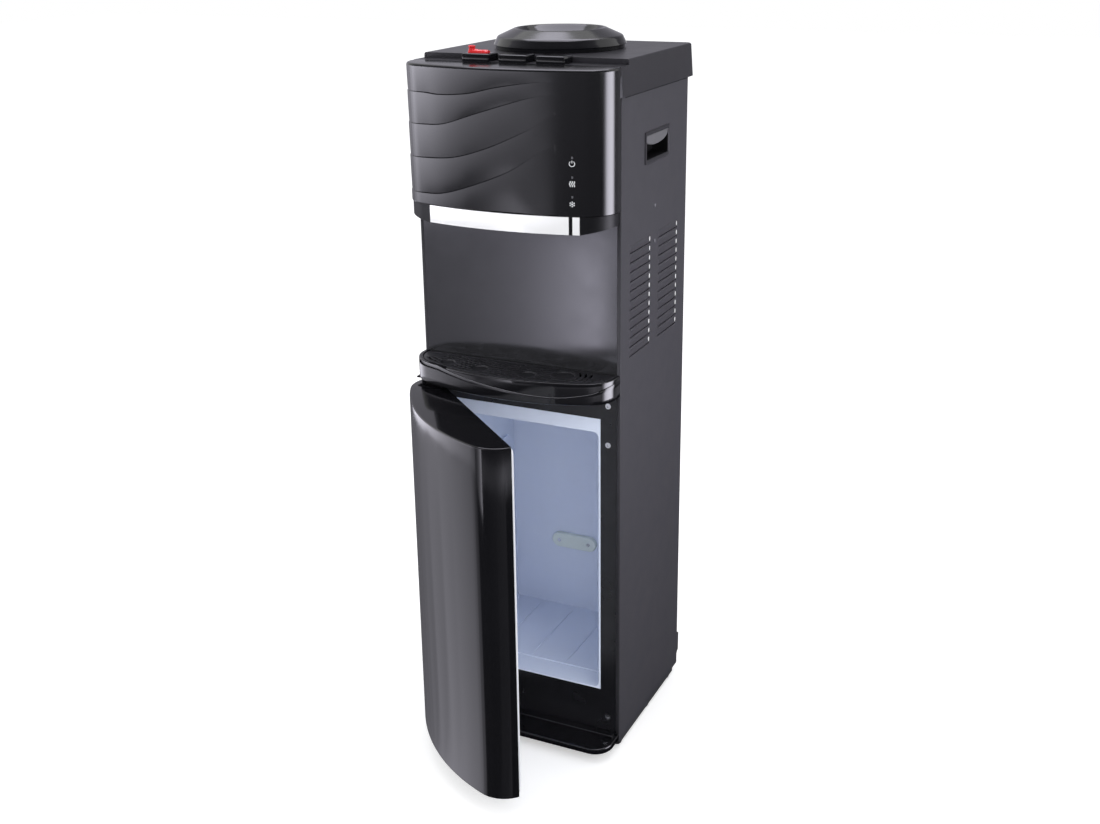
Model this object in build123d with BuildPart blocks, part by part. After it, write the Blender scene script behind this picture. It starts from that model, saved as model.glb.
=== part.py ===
from build123d import *
from math import atan2, cos, pi, radians, sin, sqrt
import os

# Water cooler with a bottle collar on top and a storage cabinet below.
# Millimetres, +Z up, the front faces -Y. The origin is on the floor under the centre of the steel cabinet.

os.makedirs("parts", exist_ok=True)

# ---------------------------------------------------------------- driving dimensions

# Steel cabinet
cabinet_width = 300.0
cabinet_depth = 245.0
sheet = 1.0
flange_width = 5.0
deep_flange_width = 10.0

# Moulded walls and clearances
wall = 3.0
thin_wall = 2.0
seat_gap = 0.1
slip_gap = 0.3
running_gap = 0.08

# Base
rail_height = 7.0
rail_widths = (17.0, 27.0, 19.0)
front_rail_inset = 16.0
middle_rail_y = 1.5
rear_rail_inset = 30.0
base_lip_height = 5.0
base_top = 62.0
base_overhang = 8.5
base_chamfer = (29.0, 25.0)
base_wall = 4.0
skirt_reach = 51.0
skirt_bottom = 14.0
skirt_height = 9.0
skirt_step_height = 4.0
skirt_step_depth = 13.5
skirt_corner = 28.0

# Bowed front: how far the front arc stands out, and the radius of its corners
side_flat = 8.0
panel_bow = 62.0
panel_corner = 40.0
tray_bow = 72.0
door_bow = 74.0
tray_corner = 45.0

# Front openings and pieces, stacked from the floor up
frame_bottom = 24.0
door_bottom = 31.0
opening_bottom = 93.0
opening_height = 421.3
opening_side_margin = 29.3
header_height = 28.7
tray_clearance = 7.0
tray_height = 31.0
cup_height = 198.0
housing_lip = 8.0
housing_height = 24.2
front_panel_height = 182.8
frame_wall = 3.0
recess_wall = 2.5

# Storage compartment
liner_depth = 209.2
liner_corner = 9.0
liner_rim = 2.7
liner_fascia = 19.8
liner_sill = 38.0
insulation_gap = 4.0

# Top cover
cover_skirt = 38.2
deck_rise = 7.0
cover_wall = 2.5
cover_rear_overhang = 27.0
cover_front_cut = 30.0
cover_corner = 14.0
cover_flare = 4.0
riser_set_back = 27.5

# Bottle collar, on its own upright axis
collar_y = 20.0
collar_radius = 91.0
collar_height = 27.0
collar_rim_radius = 62.0
neck_radius = 28.5
neck_length = 24.0

# Push buttons and taps
button_pitch = 54.0
button_row_x = -4.0
button_size = (40.0, 28.0)
button_rise = 9.5
button_depth = 17.0
button_travel = 5.0
stem_radius = 4.0
latch_travel = 4.0
tap_rise = 33.0
tap_radius = 9.0
barrel_radius = 8.5
barrel_rise = 33.0
nozzle_radius = 8.0
nozzle_reach = 30.0
spring_length = 27.0

# Door hinge
door_open_angle = 41.5
hinge_inset = 8.0
hinge_set_forward = 20.0
hinge_pin_radius = 3.0
door_gap = 3.3
gasket_thickness = 3.0
gasket_width = 12.0
door_liner_thickness = 2.5

# Cooling and heating, behind the recess panel
tank_outlet_margin = 8.0
tank_height = 150.0
tank_headroom = 56.0
tank_wall = 1.2
jacket_wall = 20.0
jacket_floor = 18.0
shelf_sheet = 1.5
deck_sheet = 2.0
hot_tank_side_margin = 70.0
hot_tank_y = 40.0
hot_tank_radius = 48.0
hot_tank_height = 130.0
hot_jacket_wall = 14.0
module_side = 40.0
module_thickness = 4.0
sink_side = 100.0
sink_base = 5.0
fan_side = 92.0
fan_depth = 22.0
hose_radius = 4.5
hose_bore = 3.0
rear_sheet = 1.0

# ---------------------------------------------------------------- derived places

half_width = cabinet_width / 2
front_y = -cabinet_depth / 2
rear_y = cabinet_depth / 2
opening_half_width = half_width - opening_side_margin
opening_top = opening_bottom + opening_height
door_top = opening_top + header_height
tray_bottom = door_top + tray_clearance
tray_top = tray_bottom + tray_height
housing_bottom = tray_top + cup_height
housing_floor = housing_bottom + housing_lip
panel_bottom = housing_bottom + housing_height
recess_top = panel_bottom - 2.2
ledge_height = panel_bottom + front_panel_height
deck_height = ledge_height + deck_rise
panel_top = ledge_height - cover_skirt
insulation_top = tray_bottom - insulation_gap
rail_places = (front_y + front_rail_inset, middle_rail_y, rear_y - rear_rail_inset)
rails = tuple(zip(rail_places, rail_widths))
tap_height = housing_bottom + tap_rise
tap_barrel_top = tap_height + barrel_rise
tank_top = ledge_height - tank_headroom
tank_bottom = tank_top - tank_height
shelf_height = tank_bottom - jacket_floor
tank_radius = button_row_x + button_pitch + tank_outlet_margin
hot_tank_centre = (-(half_width - hot_tank_side_margin), hot_tank_y)
inside_x = half_width - sheet - seat_gap
panel_floor = rail_height + base_lip_height
face_half_width = half_width - flange_width - seat_gap * 2
bow_half_width = half_width - 0.5
frame_back_y = front_y + frame_wall
recess_back_y = front_y + recess_wall
rear_panel_y = rear_y - sheet
rear_inner_y = rear_panel_y - rear_sheet
liner_flange_thickness = 1.5
foam_front_y = frame_back_y + liner_flange_thickness
liner_front_y = front_y + slip_gap
liner_back_y = liner_front_y + liner_depth
skirt_top = skirt_bottom + skirt_height
cover_height = deck_height - panel_top
cover_rear_y = rear_y + cover_rear_overhang
cover_front_y = front_y + slip_gap
riser_y = front_y + riser_set_back
button_xs = [button_row_x + (number - 1) * button_pitch for number in range(3)]
button_back_y = riser_y + wall
button_front_y = button_back_y - button_size[1]
stem_y = (button_front_y + button_back_y) / 2
nozzle_y = front_y - nozzle_reach
door_back_y = front_y - door_gap
hinge_x = -(bow_half_width - hinge_inset)
hinge_y = door_back_y - hinge_set_forward
hinge_axis = Axis((hinge_x, hinge_y, 0), (0, 0, 1))
insulation_floor = base_top
deck_top = insulation_top + deck_sheet
collar_base = deck_height


# ---------------------------------------------------------------- shared shapes


def block(x, y, z, mode=Mode.ADD):
    """A box between the low and high bounds given for each axis."""
    with Locations(((x[0] + x[1]) / 2, (y[0] + y[1]) / 2, (z[0] + z[1]) / 2)):
        Box(x[1] - x[0], y[1] - y[0], z[1] - z[0], mode=mode)


def rod(axis, span, across, radius, mode=Mode.ADD):
    """A round bar along one axis over a span; across holds its other two coordinates."""
    middle = (span[0] + span[1]) / 2
    centre = {
        "x": (middle, across[0], across[1]),
        "y": (across[0], middle, across[1]),
        "z": (across[0], across[1], middle),
    }[axis]
    turn = {"x": (0, 90, 0), "y": (90, 0, 0), "z": (0, 0, 0)}[axis]
    with Locations(centre):
        Cylinder(radius, span[1] - span[0], rotation=turn, mode=mode)


def upright(y):
    """A plane facing the front at the given depth: sketch x is X and sketch y is Z."""
    return Plane.XZ.offset(-y)


def front_radius(bow, corner):
    """Radius of the front arc that meets both corner arcs of a bowed plan smoothly."""
    reach = bow_half_width - corner
    drop = side_flat - bow
    return (corner**2 - reach**2 - drop**2) / (2 * (drop + corner))


def bow_face(bow, corner, z, inset=0.0, back_y=None):
    """A bowed plan at height z: straight back, short flat sides, round corners and one front arc."""
    back_y = front_y if back_y is None else back_y
    large = front_radius(bow, corner)
    corner_x = bow_half_width - corner
    sweep = atan2(corner_x, large - bow + side_flat)
    centre_y = front_y - bow + large
    side_x = bow_half_width - inset
    large = large - inset
    small = corner - inset
    flat_y = front_y - side_flat
    tangent = (large * sin(sweep), centre_y - large * cos(sweep))
    turn = (pi / 2 - sweep) / 2
    middle = (corner_x + small * cos(turn), flat_y - small * sin(turn))
    with BuildSketch(Plane.XY.offset(z)) as plan:
        with BuildLine():
            Line((-side_x, back_y), (side_x, back_y))
            Line((side_x, back_y), (side_x, flat_y))
            ThreePointArc((side_x, flat_y), middle, tangent)
            ThreePointArc(tangent, (0, centre_y - large), (-tangent[0], tangent[1]))
            ThreePointArc((-tangent[0], tangent[1]), (-middle[0], middle[1]), (-side_x, flat_y))
            Line((-side_x, flat_y), (-side_x, back_y))
        make_face()
    return plan.sketch


def bowed_prism(bow, corner, z, inset=0.0, back_y=None, mode=Mode.ADD):
    """Stands a bowed plan up between two heights."""
    extrude(bow_face(bow, corner, z[0], inset, back_y), amount=z[1] - z[0], mode=mode)


def bow_depth(x, bow, corner):
    """How far a bowed plan's front arc stands in front of the front plane at x."""
    large = front_radius(bow, corner)
    return bow - large + sqrt(large**2 - x**2)


def save(part, label):
    """Names a finished piece and writes its file."""
    part.label = label
    export_step(part, f"parts/{label}.step")


# ---------------------------------------------------------------- base

chamfer_run, chamfer_rise = base_chamfer
base_rear_y = rear_y + base_overhang
base_front_y = frame_back_y + seat_gap
base_profile = (
    (base_front_y, rail_height),
    (base_rear_y - chamfer_run, rail_height),
    (base_rear_y, rail_height + chamfer_rise),
    (base_rear_y, base_top),
    (base_front_y, base_top),
)

with BuildPart() as base_tray:
    with BuildSketch(Plane.YZ.offset(-inside_x)):
        with BuildLine():
            Polyline(*base_profile, close=True)
        make_face()
    extrude(amount=2 * inside_x)
    with BuildSketch(Plane.YZ.offset(-inside_x + base_wall)):
        with BuildLine():
            Polyline(*base_profile, close=True)
        make_face()
        offset(amount=-base_wall, mode=Mode.REPLACE)
    extrude(amount=2 * (inside_x - base_wall), mode=Mode.SUBTRACT)
    inner_front = base_front_y + base_wall
    inner_rear = base_rear_y - chamfer_run - base_wall
    block((-inside_x + base_wall, inside_x - base_wall), (inner_front, inner_rear),
          (0, rail_height + base_wall), Mode.SUBTRACT)
    for side in (-1, 1):
        edge = sorted((side * (inside_x - base_wall), side * half_width))
        block(edge, (front_y, base_rear_y - chamfer_run), (rail_height, panel_floor))
    block((-half_width, half_width), (front_y, inner_front), (rail_height, panel_floor))
    for centre, width in rails:
        block((-inside_x + base_wall, inside_x - base_wall), (centre - 2, centre + 2),
              (rail_height, base_top - base_wall))
save(base_tray.part, "base_tray")

rail_reach = half_width - 3.0
with BuildPart() as foot_rails:
    for centre, width in rails:
        with BuildSketch(Plane.XY):
            with Locations((0, centre)):
                RectangleRounded(2 * rail_reach, width, width / 2 - 1)
        extrude(amount=rail_height)
save(foot_rails.part, "foot_rails")

skirt_front_y = front_y - skirt_reach
tongue_half_width = half_width - 10.0
with BuildPart() as front_skirt:
    with BuildSketch(Plane.XY.offset(skirt_bottom)):
        with Locations((0, front_y - skirt_reach / 2)):
            plan = Rectangle(cabinet_width, skirt_reach)
        fillet(plan.vertices().group_by(Axis.Y)[0], skirt_corner)
    extrude(amount=skirt_height)
    block((-face_half_width, face_half_width), (front_y - skirt_step_depth, front_y),
          (skirt_top, skirt_top + skirt_step_height))
    with BuildSketch(Plane.XY.offset(skirt_bottom)):
        with Locations((0, front_y - skirt_reach / 2)):
            hollow = Rectangle(cabinet_width - 2 * wall, skirt_reach - 2 * wall)
        fillet(hollow.vertices().group_by(Axis.Y)[0], skirt_corner - wall)
    extrude(amount=skirt_height - wall, mode=Mode.SUBTRACT)
    block((-tongue_half_width, tongue_half_width), (front_y, base_front_y),
          (skirt_bottom, frame_bottom - slip_gap))
save(front_skirt.part, "front_skirt")

# ---------------------------------------------------------------- steel side panels

louvre_length = 74.0
louvre_columns = ((front_y + 31.5, front_y + 31.5 + louvre_length), (rear_y - 34.5 - louvre_length, rear_y - 34.5))
louvre_rows = 12
louvre_first_z = tray_bottom + 47.0
louvre_pitch = 13.0
louvre_slot = 4.0
louvre_blade = 7.0
handle_y = (-42.0, 48.0)
handle_z = (panel_top - 97.8, panel_top - 54.8)
handle_rim = 3.5
handle_hem = 8.0
side_screw_y = -3.0
side_screw_zs = (shelf_height - 22.0, shelf_height + 27.0)
side_screw_radius = 1.5

with BuildPart() as right_side_panel:
    inner_face_x = half_width - sheet
    block((inner_face_x, half_width), (front_y, rear_y), (panel_floor, panel_top))
    block((half_width - flange_width, inner_face_x), (front_y, front_y + sheet), (panel_floor, panel_top))
    block((half_width - deep_flange_width, inner_face_x), (rear_y - sheet, rear_y), (base_top, panel_top))
    block((half_width - deep_flange_width, inner_face_x), (front_y, rear_y), (panel_top - sheet, panel_top))
    handle_hole_y = (handle_y[0] + handle_rim, handle_y[1] - handle_rim)
    handle_hole_z = (handle_z[0] + handle_rim, handle_z[1] - handle_rim)
    block((half_width - handle_hem, half_width), (handle_hole_y[0] - sheet, handle_hole_y[1] + sheet),
          (handle_hole_z[0] - sheet, handle_hole_z[1] + sheet))
    block((half_width - handle_hem, half_width), handle_hole_y, handle_hole_z, Mode.SUBTRACT)
    for low, high in louvre_columns:
        for row in range(louvre_rows):
            slot_z = louvre_first_z + row * louvre_pitch
            block((inner_face_x, half_width), (low, high), (slot_z, slot_z + louvre_slot), Mode.SUBTRACT)
            with Locations((half_width - sheet - 1.4, (low + high) / 2, slot_z + louvre_slot - 0.6)):
                Box(sheet * 0.8, high - low, louvre_blade, rotation=(0, 35, 0))
    for screw_z in side_screw_zs:
        rod("x", (inner_face_x, half_width), (side_screw_y, screw_z), side_screw_radius + seat_gap,
            Mode.SUBTRACT)
save(right_side_panel.part, "right_side_panel")

with BuildPart() as left_side_panel:
    mirror(right_side_panel.part, about=Plane.YZ)
save(left_side_panel.part, "left_side_panel")

pocket_depth = 24.0
pocket_lip_radius = 6.0
pocket_rim_rise = 1.5
with BuildPart() as right_handle_pocket:
    block((half_width, half_width + pocket_rim_rise), handle_y, handle_z)
    pocket_y = (handle_hole_y[0] + seat_gap, handle_hole_y[1] - seat_gap)
    pocket_z = (handle_hole_z[0] + seat_gap, handle_hole_z[1] - seat_gap)
    block((half_width - pocket_depth, half_width), pocket_y, pocket_z)
    block((half_width - pocket_depth + thin_wall, half_width + pocket_rim_rise),
          (pocket_y[0] + thin_wall, pocket_y[1] - thin_wall),
          (pocket_z[0] + thin_wall, pocket_z[1] - thin_wall), Mode.SUBTRACT)
    lip_z = pocket_z[1] - pocket_lip_radius
    rod("y", pocket_y, (half_width - pocket_lip_radius, lip_z), pocket_lip_radius)

with BuildPart() as handle_pockets:
    add(right_handle_pocket.part)
    mirror(right_handle_pocket.part, about=Plane.YZ)
save(handle_pockets.part, "handle_pockets")

# ---------------------------------------------------------------- rear panel and fan cover

fan_z = ledge_height - 136.0
air_hole_radius = fan_side / 2 - 2.0
switch_x = half_width - 60.0
switch_z = tray_bottom + 103.0
switch_opening = (36.0, 22.0)
gland_place = (half_width - 35.0, tray_bottom + 25.0)
gland_radius = 6.0
drain_radius = 6.0
drain_z = deck_top + 24.0
rear_vents = 10
rear_vent_first_z = tray_bottom + 56.0
rear_vent_pitch = 13.0
rear_vent_slot = 5.0

with BuildPart() as rear_panel:
    block((-inside_x, inside_x), (rear_inner_y, rear_panel_y), (base_top, panel_top - sheet - slip_gap))
    rod("y", (rear_inner_y, rear_panel_y), (0, fan_z), air_hole_radius, Mode.SUBTRACT)
    block((switch_x - switch_opening[0] / 2, switch_x + switch_opening[0] / 2), (rear_inner_y, rear_panel_y),
          (switch_z - switch_opening[1] / 2, switch_z + switch_opening[1] / 2), Mode.SUBTRACT)
    rod("y", (rear_inner_y, rear_panel_y), gland_place, gland_radius + seat_gap, Mode.SUBTRACT)
    rod("y", (rear_inner_y, rear_panel_y), (hot_tank_centre[0], drain_z), drain_radius + seat_gap, Mode.SUBTRACT)
    for row in range(rear_vents):
        vent_z = rear_vent_first_z + row * rear_vent_pitch
        block((-45, 25), (rear_inner_y, rear_panel_y), (vent_z, vent_z + rear_vent_slot), Mode.SUBTRACT)
save(rear_panel.part, "rear_panel")

fan_cover_half_width = 60.0
fan_cover_z = (fan_z - fan_side / 2 - 14, panel_top - 1.5)
fan_cover_depth = 26.5
fan_slot_pitch = 8.0
fan_slot_half_length = 42.0
with BuildPart() as rear_fan_cover:
    cover_back_y = rear_panel_y + fan_cover_depth
    block((-fan_cover_half_width, fan_cover_half_width), (rear_panel_y, cover_back_y), fan_cover_z)
    block((-fan_cover_half_width + thin_wall, fan_cover_half_width - thin_wall),
          (rear_panel_y, cover_back_y - thin_wall),
          (fan_cover_z[0] + thin_wall, fan_cover_z[1] - thin_wall), Mode.SUBTRACT)
    for row in range(-5, 6):
        slot_z = fan_z + row * fan_slot_pitch
        block((-fan_slot_half_length, fan_slot_half_length), (cover_back_y - thin_wall, cover_back_y),
              (slot_z - fan_slot_pitch / 4, slot_z + fan_slot_pitch / 4), Mode.SUBTRACT)
save(rear_fan_cover.part, "rear_fan_cover")

# ---------------------------------------------------------------- top cover and collar

with BuildPart() as top_cover:
    cover_length = cover_rear_y - cover_front_y + cover_front_cut
    cover_plan_y = cover_rear_y - cover_length / 2
    with BuildSketch(Plane.XY.offset(panel_top)):
        with Locations((0, cover_plan_y)):
            RectangleRounded(cabinet_width + 3, cover_length, cover_corner)
    extrude(amount=cover_height, taper=cover_flare)
    fillet(top_cover.faces().sort_by(Axis.Z)[-1].edges(), 3)
    with BuildSketch(Plane.XY.offset(panel_top)):
        with Locations((0, cover_plan_y)):
            RectangleRounded(cabinet_width + 3 - 2 * cover_wall, cover_length - 2 * cover_wall,
                             cover_corner - cover_wall)
    extrude(amount=cover_height - cover_wall, taper=cover_flare, mode=Mode.SUBTRACT)
    far = cabinet_width
    block((-far, far), (cover_front_y - 2 * cover_front_cut, cover_front_y), (panel_top, deck_height),
          Mode.SUBTRACT)
    block((-far, far), (cover_front_y, riser_y), (ledge_height, deck_height), Mode.SUBTRACT)
    ledge_half_width = half_width - 2.4
    block((-ledge_half_width, ledge_half_width), (cover_front_y, riser_y),
          (ledge_height - cover_wall, ledge_height))
    block((-ledge_half_width + 2, ledge_half_width - 2), (riser_y, riser_y + cover_wall),
          (ledge_height - cover_wall, deck_height - cover_wall))
    rod("z", (deck_height - cover_wall, deck_height), (0, collar_y), neck_radius + wall + slip_gap, Mode.SUBTRACT)
    for x in button_xs:
        hole_x = (x - button_size[0] / 2 - slip_gap, x + button_size[0] / 2 + slip_gap)
        block(hole_x, (button_front_y - slip_gap, button_back_y + slip_gap),
              (ledge_height - cover_wall, deck_height), Mode.SUBTRACT)
save(top_cover.part, "top_cover")

collar_plane = Plane(origin=(0, collar_y, 0), x_dir=(1, 0, 0), z_dir=(0, -1, 0))
collar_top = collar_base + collar_height
throat_top = collar_base + 11.0
throat_bottom = throat_top - neck_length
collar_foot = 6.0
collar_taper = 4.0
collar_shoulder = 17.0
with BuildPart() as bottle_collar:
    with BuildSketch(collar_plane):
        with BuildLine():
            foot_radius = collar_radius - 2.2
            shoulder_radius = collar_radius - collar_taper
            Line((foot_radius, collar_base), (foot_radius, collar_base + collar_foot - 1))
            Line((foot_radius, collar_base + collar_foot - 1), (collar_radius, collar_base + collar_foot))
            Line((collar_radius, collar_base + collar_foot), (shoulder_radius, collar_base + collar_shoulder - 3))
            ThreePointArc((shoulder_radius, collar_base + collar_shoulder - 3),
                          (shoulder_radius - 0.9, collar_base + collar_shoulder - 0.8),
                          (shoulder_radius - 3.2, collar_base + collar_shoulder + 0.6))
            Line((shoulder_radius - 3.2, collar_base + collar_shoulder + 0.6),
                 (collar_rim_radius + 2, collar_top - 0.6))
            ThreePointArc((collar_rim_radius + 2, collar_top - 0.6), (collar_rim_radius, collar_top),
                          (collar_rim_radius - 2, collar_top - 0.6))
            Line((collar_rim_radius - 2, collar_top - 0.6), (collar_rim_radius - 3, collar_top - 1))
            ThreePointArc((collar_rim_radius - 3, collar_top - 1),
                          (neck_radius + 17, throat_top + 5), (neck_radius, throat_top))
            Line((neck_radius, throat_top), (neck_radius, throat_bottom))
            Line((neck_radius, throat_bottom), (neck_radius + wall, throat_bottom))
            Line((neck_radius + wall, throat_bottom), (neck_radius + wall, throat_top - 3))
            ThreePointArc((neck_radius + wall, throat_top - 3), (neck_radius + 20, throat_top + 1),
                          (collar_rim_radius - 2, collar_top - 5))
            Line((collar_rim_radius - 2, collar_top - 5), (collar_radius - 13, collar_top - 9))
            Line((collar_radius - 13, collar_top - 9), (collar_radius - 6, collar_base))
            Line((collar_radius - 6, collar_base), (foot_radius, collar_base))
        make_face()
    revolve(axis=Axis((0, collar_y, 0), (0, 0, 1)))
save(bottle_collar.part, "bottle_collar")

guard_radius = neck_radius + wall + seat_gap
guard_floor = throat_bottom - 15.0
spout_radius = 14.0
probe_radius = 8.0
probe_height = 11.0
guard_relief = 1.5
with BuildPart() as water_guard:
    rod("z", (guard_floor, throat_bottom + 8), (0, collar_y), guard_radius + wall)
    rod("z", (guard_floor + wall, throat_bottom + 8), (0, collar_y), guard_radius, Mode.SUBTRACT)
    rod("z", (guard_floor + wall, throat_bottom), (0, collar_y), guard_radius)
    rod("z", (guard_floor + wall, throat_bottom), (0, collar_y), neck_radius + guard_relief, Mode.SUBTRACT)
    rod("z", (guard_floor, guard_floor + wall + probe_height), (0, collar_y), probe_radius)
    rod("z", (tank_top - 6, guard_floor), (0, collar_y), spout_radius)
    rod("z", (tank_top - 6, guard_floor + wall + probe_height - 3), (0, collar_y), probe_radius - wall,
        Mode.SUBTRACT)
    rod("x", (-probe_radius, probe_radius), (collar_y, guard_floor + wall + 6), 2.5, Mode.SUBTRACT)
save(water_guard.part, "water_guard")

# ---------------------------------------------------------------- bowed upper front

indicator_x = half_width - 46.0
indicator_zs = (panel_bottom + 25.3, panel_bottom + 50.3, panel_bottom + 75.1)
lens_radius = 1.6
panel_skin_y = front_y - bow_depth(indicator_x, panel_bow, panel_corner)
board_y = panel_skin_y + 9.0
board_thickness = 1.6
board_size = (24.0, 70.0)
board_z = indicator_zs[1]
post_zs = (board_z - board_size[1] / 2 + 5, board_z + board_size[1] / 2 - 5)

with BuildPart() as front_panel:
    bowed_prism(panel_bow, panel_corner, (panel_bottom, ledge_height))
    bowed_prism(panel_bow, panel_corner, (panel_bottom, ledge_height - wall), wall, front_y, Mode.SUBTRACT)
    for post_z in post_zs:
        rod("y", (panel_skin_y + wall * 0.6, board_y), (indicator_x, post_z), 3.0)
    for lens_z in indicator_zs:
        rod("y", (panel_skin_y - 3, board_y), (indicator_x, lens_z), lens_radius + seat_gap, Mode.SUBTRACT)
save(front_panel.part, "front_panel")

with BuildPart() as indicator_board:
    block((indicator_x - board_size[0] / 2, indicator_x + board_size[0] / 2),
          (board_y, board_y + board_thickness),
          (board_z - board_size[1] / 2, board_z + board_size[1] / 2))
    block((indicator_x - 8, indicator_x + 8), (board_y + board_thickness, board_y + 7),
          (board_z - 30, board_z - 20))
save(indicator_board.part, "indicator_board")

with BuildPart() as indicator_lenses:
    for lens_z in indicator_zs:
        rod("y", (panel_skin_y - 0.2, board_y), (indicator_x, lens_z), lens_radius)
save(indicator_lenses.part, "indicator_lenses")

strip_depth = 1.5
strip_ends = ((-indicator_x, indicator_x - 5.1), (indicator_x, indicator_x + 8.6))
housing_wall = 2.5
end_rise_x = indicator_x + 8.0
with BuildPart() as tap_housing:
    bowed_prism(panel_bow, panel_corner, (housing_bottom, panel_bottom - 0.2), strip_depth)
    bowed_prism(panel_bow, panel_corner, (housing_bottom, housing_floor), strip_depth + housing_wall,
                front_y, Mode.SUBTRACT)
    bowed_prism(panel_bow, panel_corner, (housing_floor + housing_wall, panel_bottom),
                strip_depth + housing_wall, front_y, Mode.SUBTRACT)
    for x in button_xs:
        rod("z", (housing_floor, housing_floor + housing_wall), (x, nozzle_y), nozzle_radius + 1, Mode.SUBTRACT)
    for side in (-1, 1):
        with BuildSketch(upright(front_y)):
            with BuildLine():
                Polyline((side * end_rise_x, housing_bottom), (side * half_width, housing_floor),
                         (side * half_width, housing_bottom), close=True)
            make_face()
        extrude(amount=panel_bow, mode=Mode.SUBTRACT)
save(tap_housing.part, "tap_housing")

with BuildPart() as trim_strip:
    bowed_prism(panel_bow, panel_corner, (housing_bottom + 0.4, panel_bottom - 0.6))
    bowed_prism(panel_bow, panel_corner, (housing_bottom, panel_bottom), strip_depth - seat_gap, front_y,
                Mode.SUBTRACT)
    back_cut_y = front_y - side_flat
    block((-half_width, half_width), (back_cut_y, front_y), (housing_bottom, panel_bottom), Mode.SUBTRACT)
    gaps = ((-half_width, strip_ends[0][0]), (strip_ends[0][1], strip_ends[1][0]), (strip_ends[1][1], half_width))
    for gap in gaps:
        block(gap, (front_y - panel_bow - 1, front_y), (housing_bottom, panel_bottom), Mode.SUBTRACT)
save(trim_strip.part, "trim_strip")

tap_shelf_half_width = face_half_width - 14.7
tap_shelf_depth = 32.0
tap_shelf_thickness = 2.5
with BuildPart() as recess_panel:
    block((-face_half_width, face_half_width), (front_y, recess_back_y), (tray_bottom, recess_top))
    block((-tap_shelf_half_width, tap_shelf_half_width), (recess_back_y, recess_back_y + tap_shelf_depth),
          (recess_top - tap_shelf_thickness, recess_top))
save(recess_panel.part, "recess_panel")

# ---------------------------------------------------------------- drip tray

crescent = (
    (-0.7 * half_width, tray_top + 0.5),
    (-0.18 * half_width, tray_top - 12.0),
    (0.5 * half_width, tray_top - 20.8),
    (0.84 * half_width, tray_top - 15.0),
    (half_width + 1, tray_top - 6.0),
)


def crescent_region(lift, mode):
    """Everything above the front's sweeping split line, raised by lift."""
    points = [(x, z + lift) for x, z in crescent]
    with BuildSketch(upright(front_y)) as region:
        with BuildLine():
            Spline(*points)
            Polyline(points[-1], (points[-1][0], tray_top + 10), (points[0][0], tray_top + 10), points[0])
        make_face()
    extrude(region.sketch, amount=tray_bow + 5, mode=mode)


tray_floor = tray_bottom + 3.0
basin_inset = 4.0
basin_wall = 2.0
grille_inset = 6.8
grille_thickness = 2.9
grille_seat_z = tray_top - 0.8 - grille_thickness
tray_back_gap = 0.5
tray_back_y = front_y - tray_back_gap

with BuildPart() as tray_housing:
    bowed_prism(tray_bow, tray_corner, (tray_bottom, tray_top - 0.5))
    bowed_prism(tray_bow, tray_corner, (tray_floor, tray_top), wall + 0.5, front_y, Mode.SUBTRACT)
    crescent_region(0.0, Mode.SUBTRACT)
save(tray_housing.part, "tray_housing")

with BuildPart() as band:
    bowed_prism(tray_bow, tray_corner, (tray_bottom, tray_top), 0.0, tray_back_y)
    bowed_prism(tray_bow, tray_corner, (tray_bottom, tray_top - 3), wall + 0.5, front_y, Mode.SUBTRACT)
    bowed_prism(tray_bow, tray_corner, (tray_top - 3, tray_top), basin_inset + basin_wall,
                tray_back_y - basin_wall, Mode.SUBTRACT)
    crescent_region(slip_gap + 0.1, Mode.INTERSECT)

with BuildPart() as drip_tray:
    basin_floor = tray_floor + slip_gap
    bowed_prism(tray_bow, tray_corner, (basin_floor, tray_top), basin_inset, tray_back_y)
    bowed_prism(tray_bow, tray_corner, (basin_floor + basin_wall, tray_top), basin_inset + basin_wall,
                tray_back_y - basin_wall, Mode.SUBTRACT)
    bowed_prism(tray_bow, tray_corner, (grille_seat_z - 3, grille_seat_z), basin_inset + basin_wall,
                tray_back_y - basin_wall)
    bowed_prism(tray_bow, tray_corner, (grille_seat_z - 3, grille_seat_z), basin_inset + 2 * basin_wall + 1,
                tray_back_y - basin_wall - 3, Mode.SUBTRACT)
    add(band.part)
save(drip_tray.part, "drip_tray")

slot_width = 3.0
slot_length = 30.0
slot_pitch = (36.0, 7.0)
with BuildPart() as drip_grille:
    grille_back_y = tray_back_y - basin_wall - slip_gap
    bowed_prism(tray_bow, tray_corner, (grille_seat_z, grille_seat_z + grille_thickness), grille_inset,
                grille_back_y)
    for row in range(7):
        row_y = grille_back_y - 8 - row * slot_pitch[1]
        room = half_width - 20 - row * row * 1.6
        count = int((2 * room) // slot_pitch[0])
        with BuildSketch(Plane.XY.offset(grille_seat_z)):
            with GridLocations(slot_pitch[0], 1, count, 1):
                with Locations((0, row_y)):
                    SlotOverall(slot_length, slot_width)
        extrude(amount=grille_thickness, mode=Mode.SUBTRACT)
save(drip_grille.part, "drip_grille")

# ---------------------------------------------------------------- storage compartment

frame_screw_x = half_width - 18.0
frame_screw_zs = (frame_bottom + 24.0, opening_top - 36.5, opening_top + 20.2)
frame_screw_places = [(side * frame_screw_x, z) for side in (-1, 1) for z in frame_screw_zs]
screw_head_radius = 4.0
screw_head_depth = 2.0
screw_shank_radius = 1.8

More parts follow.
